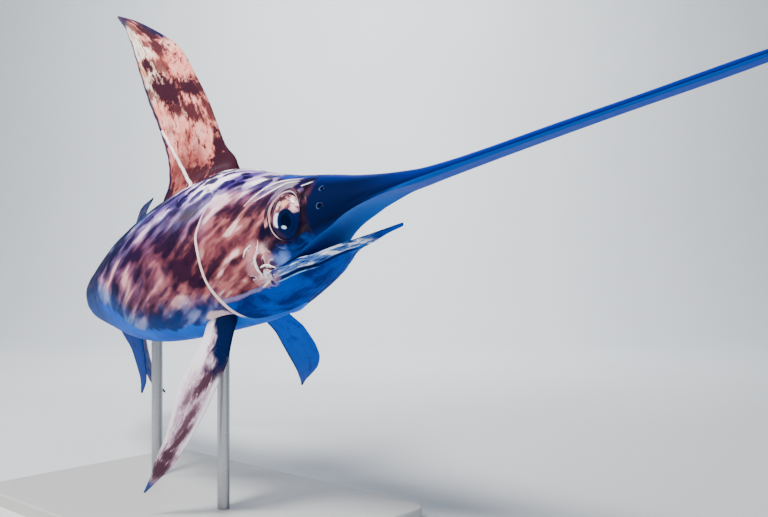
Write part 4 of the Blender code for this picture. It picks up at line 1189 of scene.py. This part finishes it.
def skin_facts(paint):
    """What the skin's layers share: places on the body, noises, and streaks that climb to the head."""
    at = SimpleNamespace(**{name: paint.fact(name) for name in SKIN_FACTS})
    at.where = paint.vector(at.station, at.girth, at.side * 0.6)
    at.grain = paint.noise(at.where, 170.0, 4.0, 0.6)
    at.patches = paint.noise(at.where, 15.0, 3.0, 0.5, 0.4) - 0.5
    at.soft = paint.noise(at.where, 44.0, 3.0, 0.55, 0.3) - 0.5
    at.wander = paint.noise(at.where, 34.0, 2.0, 0.5) - 0.5
    along_tail = paint.vector(at.station * 2.4, at.girth * 0.7, at.side * 0.6)
    at.ragged = paint.noise(along_tail, 40.0, 3.0, 0.6) - 0.5
    drawn_out = at.station - (at.station - 0.25).most(0.0) ** 2 * 0.9
    at.climb = at.girth * TILT_SINE - drawn_out * TILT_COSINE
    at.across = at.girth * TILT_COSINE + drawn_out * TILT_SINE
    along_streak = paint.vector(at.climb * 22.0, at.across * 70.0, at.side * 12.0)
    at.streak = paint.noise(along_streak, 1.0, 2.5, 0.42, 0.25)
    # Down the lower flank and towards the tail the tone darkens a little: painted shade.
    low_flank = at.rise.ease(-0.12, -0.40) * at.station.ease(0.23, 0.27)
    at.tone = at.streak + at.patches * 0.28 - at.station.ease(0.23, 0.34) * 0.045 - low_flank * 0.03
    at.on_head = at.station.ease(0.25, 0.20)
    at.cover = at.gill_gap.ease(0.0005, -0.0005)
    return at


def flank_layers(paint, at):
    """Copper streaks and plum blotches, cooling to lilac up the side and to plum towards the tail, with
    painted dappled sunlight, painted sheen and painted shade.
    """
    blotch = spots(paint, at, 32.0, 84.0, 16.0, 1.6)
    blotch = (blotch + at.soft + at.patches * 0.6 - at.station.ease(0.23, 0.30) * 0.05).ease(0.66, 0.26)
    # The brightest streaks take the shine colours: painted dappled sunlight.
    shine = paint.blend(at.station, SHINE)
    copper = paint.mix(at.tone.ease(0.58, 0.67), paint.blend(at.tone, COPPER), shine)
    plum = paint.blend(at.grain, PLUM)
    paint.colour = paint.mix(blotch * (0.82 - at.tone.ease(0.50, 0.60) * 0.55), copper, plum)
    # Up the side the colour cools to lilac, partly painted sheen.
    cool = (at.rise + at.soft * 0.3 - at.on_head * 0.22).ease(0.05, 0.45)
    paint.lay(cool * 0.70, paint.blend(at.tone, COLD))
    # Towards the tail the darks turn navy and plum, partly painted shade.
    paint.lay((at.station + at.soft * 0.05).ease(0.25, 0.46) * 0.62, paint.blend(at.tone, DUSK))


def crown_layers(paint, at):
    """Indigo spots on a lilac ground over crown and nape, whose palest white is partly painted highlight from
    above, and plain blue on the forehead.
    """
    share = (spots(paint, at, 36.0, 74.0, 26.0, 1.2) + at.soft * 0.7).ease(0.57, 0.40)
    crown = paint.mix(share * 0.96, paint.blend(at.tone, LILAC), paint.blend(at.soft, INDIGO))
    edge = (at.rise + at.soft * 0.22 - at.on_head * 0.09).ease(0.36, 0.56)
    edge = edge * (at.station + at.soft * 0.02).ease(0.098, 0.122)
    paint.lay(edge * (at.station + at.soft * 0.08).ease(0.46, 0.30), crown)
    between_brows = at.rise.ease(0.44, 0.52) * at.station.ease(0.158, 0.140)
    paint.lay(between_brows * 0.8, paint.blend(at.tone, BROW_SHADE))
    forehead = (at.rise + at.soft * 0.03).ease(0.74, 0.79) * (at.station + at.soft * 0.03).ease(0.165, 0.135)
    paint.lay(forehead, paint.blend(at.tone, FOREHEAD))


def rear_layers(paint, at):
    """The back is dark behind the dorsal fin, and the belly blue, with a ragged border that climbs: the blue
    of the lower flank, the belly and the tail is painted shade, and the dark back's blue streaks are partly
    painted light.
    """
    dark = (at.rise + at.soft * 0.3 + at.station.ease(0.34, 0.46) * 0.14).ease(0.50, 0.66)
    paint.lay(dark * at.station.ease(0.28, 0.36) * 0.96, paint.blend(at.tone, DARK_BACK))
    border = at.rise + at.patches * 0.12 + at.ragged * 0.30 - at.station.ease(0.37, 0.54) * 0.50
    # Painted shade: blue down the lower flank, over the belly and towards the tail.
    low_flank_shade = border.ease(-0.22, -0.50) * at.station.ease(0.23, 0.27) * 0.75
    paint.lay(low_flank_shade, paint.blend(at.tone, LOW_FLANK_SHADE))
    paint.lay(border.ease(-0.54, -0.62), paint.blend(at.patches, BELLY_SHADE_BLUE))
    paint.lay((at.station + at.soft * 0.05).ease(0.50, 0.64) * 0.9, paint.blend(at.rise, TAIL_SHADE_BLUE))


def front_layers(paint, at):
    """The snout and bill are blue black above and mid blue below, and the skin before the eye is dark;
    painted shade deepens the skin before, behind and under the eye.
    """
    # Before the eye the dark brown skin is deepened to near black by painted shade on its lower part.
    front = (at.station + at.soft * 0.025).ease(0.134, 0.112) * (at.rise + at.soft * 0.1).ease(0.60, 0.52)
    shaded_front = paint.mix(at.rise.ease(0.28, 0.48), (8, 7, 26), paint.blend(at.tone, SHADED_FRONT_BROWN))
    paint.lay(front * 0.97, shaded_front)
    # A painted shadow behind the eye.
    shadow_behind_eye = oval(at.station - 0.147, at.rise - 0.03 + at.soft * 0.2, 0.019, 0.18)
    paint.lay(shadow_behind_eye.ease(0.1, 0.6) * 0.85, (6, 10, 36))
    stray = at.station + at.soft * 0.03
    # Under the eye the blue and lilac are painted shade.
    under_eye_shade = stray.ease(0.158, 0.142) * (at.rise + at.soft * 0.12).ease(-0.05, -0.15)
    lilac = stray.ease(0.124, 0.142) * (at.rise + at.soft * 0.2).ease(-0.10, -0.17)
    cloudy = paint.noise(at.where, 60.0, 3.0, 0.55, 0.3)
    paint.lay(under_eye_shade, paint.mix(lilac * 0.9, paint.blend(cloudy, UNDER_EYE_SHADE), (104, 136, 208)))
    # The snout's lighter blue along its top is painted light from above.
    low_snout = paint.mix(at.rise.ease(-0.02, -0.30), paint.blend(at.rise, SNOUT_TOP), (0, 48, 140))
    navy = paint.mix(at.station.ease(0.04, -0.12), low_snout, paint.blend(at.rise, BILL_SIDE))
    paint.lay((at.station + at.soft * 0.010 + at.rise * 0.012).ease(0.101, 0.092), navy)
    # Under the bill the mid blue is partly painted bluish shade.
    under_bill = at.station.ease(0.030, -0.02) * (at.rise + at.soft * 0.05).ease(0.02, -0.06)
    paint.lay(under_bill, (0, 76, 170))


def mouth_layers(paint, at):
    """Throat, palate and the lip: the throat's painted blue shade, wet folds along the jaw with painted
    highlights, painted shade in the groove below them and a thin painted highlight line.
    """
    edge = at.rise - at.station.ease(0.172, 0.142) * 0.38 + at.soft * 0.05 + at.ragged * 0.04
    # The throat's blue is painted shade.
    throat = edge.ease(-0.41, -0.45)
    cloud = paint.noise(at.where, 26.0, 4.0, 0.6, 0.3)
    paint.lay(at.below * at.cover * throat, paint.blend(cloud, THROAT_SHADE))
    rim = (edge + 0.405).distance().ease(0.035, 0.008) * at.cover * at.below * at.station.ease(0.165, 0.18)
    paint.lay(rim * 0.6, (150, 150, 214))
    paint.lay(at.lining, paint.blend(at.station, PALATE))
    along_jaw = paint.vector(at.station * 0.30, at.off_lip * 2.0, at.side * 0.4)
    drawn = paint.noise(along_jaw, 130.0, 4.0, 0.6, 0.5)
    jaw = at.below * at.station.ease(0.030, 0.060) * at.station.ease(0.190, 0.165)
    band = at.off_lip.ease(0.0125, 0.0100) * jaw * (1.0 - throat * at.station.ease(0.15, 0.16))
    # The lip band's white is partly painted highlight and its blue grey partly painted shade.
    paint.lay(band, paint.blend(drawn, LIP_LIGHT_AND_SHADE))
    # Painted shade in the groove under the lip.
    groove = (at.off_lip - 0.0132).distance().ease(0.0022, 0.0008) * jaw * at.station.ease(0.165, 0.155)
    paint.lay(groove * 0.85, (0, 14, 56))
    # A thin painted highlight on the ridge under the groove.
    line = (at.off_lip - 0.0158 + at.soft * 0.0012).distance().ease(0.0010, 0.0003) * jaw
    line = line * at.station.ease(0.105, 0.125) * at.station.ease(0.166, 0.158)
    paint.lay(line * drawn.ease(0.36, 0.50) * 0.9, (130, 196, 250))
    return drawn * band


def cheek_layers(paint, at):
    """Wet folds behind the corner of the mouth, whose pale creases are painted highlights."""
    crumple = paint.noise(paint.vector(at.station, at.girth * 0.75, at.side), 58.0, 2.0, 0.5, 0.6)
    crease = (crumple - 0.5).distance().ease(0.034, 0.010)
    cheek = oval(at.station - 0.172, at.girth + 0.026, 0.026, 0.036)
    flushed = (cheek + at.soft * 0.8).ease(0.05, 0.7) * cheek.ease(0.0, 0.25)
    paint.lay(flushed * 0.6, paint.blend(crumple, FLUSH))
    # Painted highlights along the creases.
    paint.lay(crease * cheek.ease(0.15, 0.6) * 0.6, (255, 232, 236))
    return crease * cheek.ease(0.0, 0.4)


def rim_layers(paint, at):
    """The pale edge of the gill cover, a painted highlight over the pectoral fin, painted highlights on the
    rims of eye and nostrils, and painted shade inside them.
    """
    # A painted highlight over the root of the pectoral fin.
    highlight_patch = oval(at.station - 0.272, at.rise + 0.57, 0.024, 0.11)
    highlight_patch = (highlight_patch + (at.streak - 0.5) * 1.6 * highlight_patch.ease(0.0, 0.2)).ease(0.15, 0.6)
    paint.lay(highlight_patch * 0.8, (252, 214, 216))
    swollen = at.rise.ease(-0.15, -0.40) * 0.0016
    gill_rim = ((at.gill_gap + 0.0014 + at.soft * 0.0012).distance() - swollen).ease(0.0022, 0.0009)
    fading = (0.25 + (at.rise + at.soft * 0.4).ease(0.36, 0.12) * 0.75) * at.rise.ease(0.5, 0.4)
    # Low on the belly the gill rim turns blue: painted shade.
    low = at.rise.ease(-0.60, -0.68)
    paint.lay(gill_rim * fading * (1.0 - low * 0.6), paint.mix(low, (255, 226, 218), (96, 160, 240)))
    rim, nostril = at.socket_rim, at.station.ease(0.092, 0.086)
    # Painted highlight on the upper and rear side of the eye's rim.
    lit = ((at.rise - 0.25) * 1.8 + (at.station - 0.123) * 16.0).ease(-0.45, 0.0)
    paint.lay(rim.ease(0.45, 0.95) * lit * (1.0 - nostril) * 0.85, (244, 206, 214))
    # A painted glint on the rear of the nostrils' rims.
    glint = nostril * (at.station + at.rise * 0.0088).ease(0.0784, 0.0794)
    paint.lay(rim.ease(0.2, 1.0) * glint * 0.30, (96, 140, 206))
    # Painted shade on the walls inside the eye's socket and the nostrils.
    paint.lay(rim.ease(0.0, -0.8), paint.mix(nostril, (4, 5, 18), (0, 10, 40)))


def skin_paint():
    paint = Paint("swordfish_skin")
    at = skin_facts(paint)
    flank_layers(paint, at)
    crown_layers(paint, at)
    rear_layers(paint, at)
    front_layers(paint, at)
    wet_lip = mouth_layers(paint, at)
    wet_cheek = cheek_layers(paint, at)
    rim_layers(paint, at)
    fine = paint.noise(paint.place(), 900.0, 2.0, 0.6)
    pores = paint.bump(at.grain + fine * 0.5, 0.2, 0.0010)
    folds = paint.bump(wet_cheek * 0.7 + wet_lip * 1.4, 0.7, 0.0014, Normal=pores)
    # The wet sheen lies on the upper side only.
    sheen = at.rise.ease(-0.35, 0.15) * at.station.ease(-0.02, 0.06) * at.station.ease(0.40, 0.26) * 0.08
    tint = srgb(*BLUE_SHEEN)
    return paint.finish(0.42 + at.grain * 0.2, normal=folds, coat=sheen, specular=0.03, tint=tint)


def fin_paint(name, dark, middle, light, edge, blotches=(), pale=None, cream=0.0, base=None, rough=1.0):
    """A fin's skin: placed blotches with ragged edges, streaks along the rays, and a dark margin."""
    paint = Paint(name)
    span, chord = paint.fact("span"), paint.fact("chord")
    where = paint.vector(chord * 0.42, span)
    broad = paint.noise(where, 11.0, 3.0, 0.55, 0.5) - 0.5
    small = paint.noise(where, 34.0, 3.0, 0.6, 0.6) - 0.5
    drawn = paint.noise(paint.vector(chord * 7.0, span * 3.4, 0.6), 2.4, 4.0, 0.65, 0.3) - 0.5
    tone = broad * 0.4 + drawn * 0.35 + small * 0.25 + 0.5
    paint.colour = paint.mix(tone.ease(0.38, 0.50), middle, light)
    if pale:
        # Pale patches: painted sunlight on the tail, partly painted highlight on the right pectoral.
        paint.lay(tone.ease(0.50, 0.60) * 0.8, pale)
    if cream:
        zone = (chord + small * 0.6).ease(0.42, 0.60) * (span + drawn * 0.2).ease(0.58, 0.66)
        paint.lay(zone * cream, paint.blend(broad + drawn, STRAW))
        red_root = (span + small * 0.2).ease(0.40, 0.20) * (chord + small * 0.3).ease(0.20, 0.42)
        paint.lay(red_root * 0.8, (122, 46, 50))
    if blotches:
        ragged = broad + (small * 1.8 + drawn * 1.6) * rough
        share = (small * 0.6 + drawn * 0.5).ease(-0.02, -0.12) * 0.75 * rough
        for out, across, long, wide, slope, weight in blotches:
            over = chord - across
            reach = (((span - out - over * slope) / long) ** 2 + (over / wide) ** 2) ** 0.5 + ragged
            share = (reach.ease(1.45, 0.45 * rough) * weight).most(share)
        paint.lay(share * 1.3, middle)
        paint.lay(share.ease(0.20, 0.90) * 0.93, dark)
    fine = paint.noise(paint.vector(chord * 60.0, span * 3.0), 1.0, 2.0, 0.5)
    paint.lay((fine - 0.46) * 0.6, dark)
    rear_edge = (chord + drawn * 0.12).ease(0.925, 0.965)
    lead_from = 0.72
    if base:
        # A dark front and a white rear near the root, then a thin white front edge; the white near the root
        # is partly painted highlight.
        front_base = (chord + broad * 0.5 + span * 0.8).ease(0.74, 0.54)
        front_base = front_base * (span + broad * 0.25).ease(0.43, 0.27)
        rear_base = (chord + drawn * 0.5 + small * 0.2).ease(0.52, 0.66) * span.ease(0.44, 0.24)
        white_edge = (chord + small * 0.12).ease(0.16, 0.05) * span.ease(0.34, 0.42) * span.ease(0.82, 0.70)
        rear_white = (chord + drawn * 0.3).ease(0.80, 0.95) * span.ease(0.86, 0.70)
        paint.lay(rear_base.most(white_edge).most(rear_white) * 0.9, (244, 234, 244))
        paint.lay(front_base, base)
        rear_edge = rear_edge * span.ease(0.86, 0.94)
        lead_from = 0.90
    tip = (span + broad * 0.06).ease(0.93, 0.965)
    lead = (chord + small * 0.08 - span * 0.1).ease(0.06, -0.04) * span.ease(lead_from, lead_from + 0.08)
    paint.lay(rear_edge.most(tip).most(lead) * 0.94, edge)
    normal = paint.bump(fine + paint.noise(paint.place(), 500.0, 2.0) * 0.4, 0.22, 0.0008)
    tint = srgb(*BLUE_SHEEN)
    return paint.finish(broad * 0.15 + 0.515, normal=normal, coat=0.04, specular=0.06, tint=tint)


def pale_ridge_and_highlight_paint():
    """The pale ridges over the eyes, the cheek folds and the white rib of the dorsal fin, whose white is
    partly painted highlight.
    """
    paint = Paint("pale_ridge")
    cloud = paint.noise(paint.place(), 90.0)
    paint.colour = paint.blend(cloud, PALE_RIDGE_AND_HIGHLIGHT)
    return paint.finish(cloud * 0.1 + 0.4, coat=0.1, coat_roughness=0.1)


def eye_paint():
    """A blue-black disc that looks down and forward, a white crescent behind it and a coppery ball above,
    with a painted reflection of the skin, painted highlights and painted shade on the lower ball.
    """
    paint = Paint("eye_gloss")
    across, upward = paint.fact("across"), paint.fact("upward")
    rearward, above = across + 0.085, upward + 0.27
    reach = ((rearward / 0.80) ** 2 + above ** 2) ** 0.5
    streaks = paint.noise(paint.vector(across * 2.6, upward * 3.4), 1.5, 3.0, 0.5, 0.6)
    stray = streaks - 0.5
    # The coppery pink of the ball is a painted reflection of the skin.
    paint.colour = paint.blend(streaks, BALL_REFLECTION)
    # Painted highlight on the upper rear of the ball.
    lit = (rearward + 0.36 + stray * 0.3).ease(0.12, -0.06) * above.ease(0.30, 0.50)
    paint.lay(lit * streaks.ease(0.34, 0.54) * 0.85, (255, 210, 218))
    arc = (reach - 1.06 + stray * 0.3).distance().ease(0.22, 0.08)
    paint.lay(arc * (rearward + above * 0.2).ease(-0.05, 0.20) * 0.95, (58, 20, 40))
    # A peach spot in the painted reflection.
    peach_reflection = ((rearward + 0.02) ** 2 + (above - 0.78) ** 2) ** 0.5
    paint.lay(peach_reflection.ease(0.22, 0.05) * 0.95, (255, 178, 130))
    # Painted shade over the lower part of the ball.
    paint.lay((above + rearward * 0.25 + stray * 0.2).ease(0.26, 0.08), paint.blend(rearward, LOWER_EYE_SHADE))
    crescent = (((rearward - 0.44) / 0.24) ** 2 + ((above - 0.17) / 0.34) ** 2) ** 0.5
    paint.lay(crescent.ease(1.05, 0.80) * 0.97, (222, 228, 250))
    paint.lay(reach.ease(0.60, 0.52), (2, 14, 52))
    paint.lay(reach.ease(0.56, 0.40) * 0.8, paint.blend(streaks + above * 0.3, IRIS))
    paint.lay(reach.ease(0.44, 0.24) * 0.85, (0, 4, 26))
    # A painted highlight at the lower rear of the disc.
    eye_highlight = (((rearward - 0.12) / 0.13) ** 2 + ((above + 0.26 - rearward * 0.3) / 0.075) ** 2) ** 0.5
    paint.lay(eye_highlight.ease(1.2, 0.7) * 0.9, (200, 216, 248))
    return paint.finish(0.08, coat=upward.ease(-0.55, 0.10) * 0.35, coat_roughness=0.02, specular=0.05)


def plate_paint():
    paint = Paint("stand_plate_paint")
    cloud = paint.noise(paint.place(), 3.0, 4.0)
    paint.colour = paint.mix(cloud, (186, 186, 184), (200, 200, 197))
    pebble = paint.noise(paint.place(), 700.0, 2.0, 0.6)
    return paint.finish(cloud * 0.12 + 0.42, normal=paint.bump(pebble, 0.12, 0.0006))


def metal_paint():
    paint = Paint("brushed_rod_metal")
    drawn = paint.node("ShaderNodeMapping", values={"Vector": paint.place(), "Scale": (60.0, 60.0, 900.0)})
    brushed = paint.noise(drawn, 1.0)
    paint.colour = paint.mix(brushed, (150, 152, 156), (196, 198, 202))
    return paint.finish(brushed * 0.16 + 0.26, normal=paint.bump(brushed, 0.08, 0.0003), metallic=1.0)


def floor_paint():
    paint = Paint("studio_floor")
    paint.colour = paint.mix(paint.noise(paint.place(), 1.4), (224, 227, 231), (232, 235, 238))
    return paint.finish(0.7)


def put_on(obj, material):
    obj.data.materials.clear()
    obj.data.materials.append(material)
    return obj


def add_light(name, at, aim, size, power, colour):
    data = bpy.data.lights.new(name, "AREA")
    data.shape, data.size, data.energy, data.color = "DISK", size, power, colour
    obj = add_object(name, data)
    obj.location = at
    obj.rotation_euler = (Vector(aim) - Vector(at)).to_track_quat("-Z", "Y").to_euler()


def make_stage():
    """A pale floor that sweeps up behind the model, a pale sky and the lights."""
    turns = np.linspace(0, math.pi / 2, BEND_STEPS)
    bend = [(FLOOR_DEPTH + SWEEP * math.sin(a), SWEEP - SWEEP * math.cos(a)) for a in turns]
    profile = [(FLOOR_START, 0.0), *bend, (FLOOR_DEPTH + SWEEP, WALL_TOP)]
    points = []
    for distance, height in profile:
        for reach in (-FLOOR_REACH, FLOOR_REACH):
            x, y = np.array(AWAY) * distance + np.array(ACROSS) * reach
            points.append((x, y, height - FLOOR_BELOW))
    faces = [(2 * i, 2 * i + 1, 2 * i + 3, 2 * i + 2) for i in range(len(profile) - 1)]
    mesh = bpy.data.meshes.new("floor")
    mesh.from_pydata(points, [], faces)
    mesh.shade_smooth()
    floor = put_on(add_object("floor", mesh), floor_paint())
    sky = bpy.data.worlds.new("studio")
    sky.use_nodes = True
    background = next(n for n in sky.node_tree.nodes if n.type == "BACKGROUND")
    background.inputs["Color"].default_value = srgb(*SKY_COLOUR)
    background.inputs["Strength"].default_value = SKY_STRENGTH
    bpy.context.scene.world = sky
    for name, light in LIGHTS.items():
        add_light(name, *light)


def make_camera():
    data = bpy.data.cameras.new("camera")
    data.sensor_fit, data.sensor_width = "HORIZONTAL", SENSOR_WIDTH
    data.lens = FOCAL_PIXELS / IMAGE_WIDTH * SENSOR_WIDTH
    data.clip_start, data.clip_end = CLIP
    camera = add_object("camera", data)
    camera.location = CAMERA_AT
    camera.rotation_euler = tuple(math.radians(a) for a in CAMERA_TURN)
    bpy.context.scene.camera = camera


def main():
    coat = skin_paint()
    skin = put_on(make_skin(), coat)
    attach(skin, "root")
    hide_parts("bill", "head", "lower_jaw", "torso_front", "torso_rear", "peduncle")
    rims = put_on(make_rims(), coat)
    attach(rims, "root")
    gloss = eye_paint()
    for name, sign in (("eye_left", 1), ("eye_right", -1)):
        eye = put_on(make_eye(name + "_ball", sign), gloss)
        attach(eye, "root")
        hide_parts(name)

    paints = {name: fin_paint(name, **colours) for name, colours in FIN_PAINTS.items()}
    pale_ridge_and_highlight = pale_ridge_and_highlight_paint()
    tree = rib_tree()
    for name, ridges in (("brow_ridges", BROW_RIDGES), ("cheek_folds", CHEEK_FOLDS)):
        folds = swept(ridge_lines(name, ridges), tree, pale_ridge_and_highlight, sides=RIDGE_SIDES)
        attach(folds, "root")
    for paint_name, *form in FIN_FORMS:
        fin, paint = Fin(*form), paints[paint_name]
        sheet = put_on(fin.sheet(*(FINE_GRID if fin.rays > SMALL_FIN_RAYS else COARSE_GRID)), paint)
        pieces = [sheet, swept(fin.ray_lines(), tree, paint)]
        if fin.name == "dorsal_fin_skin":
            pieces.append(swept(rib_lines(fin), tree, pale_ridge_and_highlight, sides=RIDGE_SIDES))
        for piece in pieces:
            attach(piece, "root")
        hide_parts(fin.node)

    put_on(frame["nodes"]["stand_base"], plate_paint())
    metal = metal_paint()
    for node in ("stand_rod_front", "stand_rod_rear"):
        put_on(frame["nodes"][node], metal)
    make_stage()
    make_camera()


main()
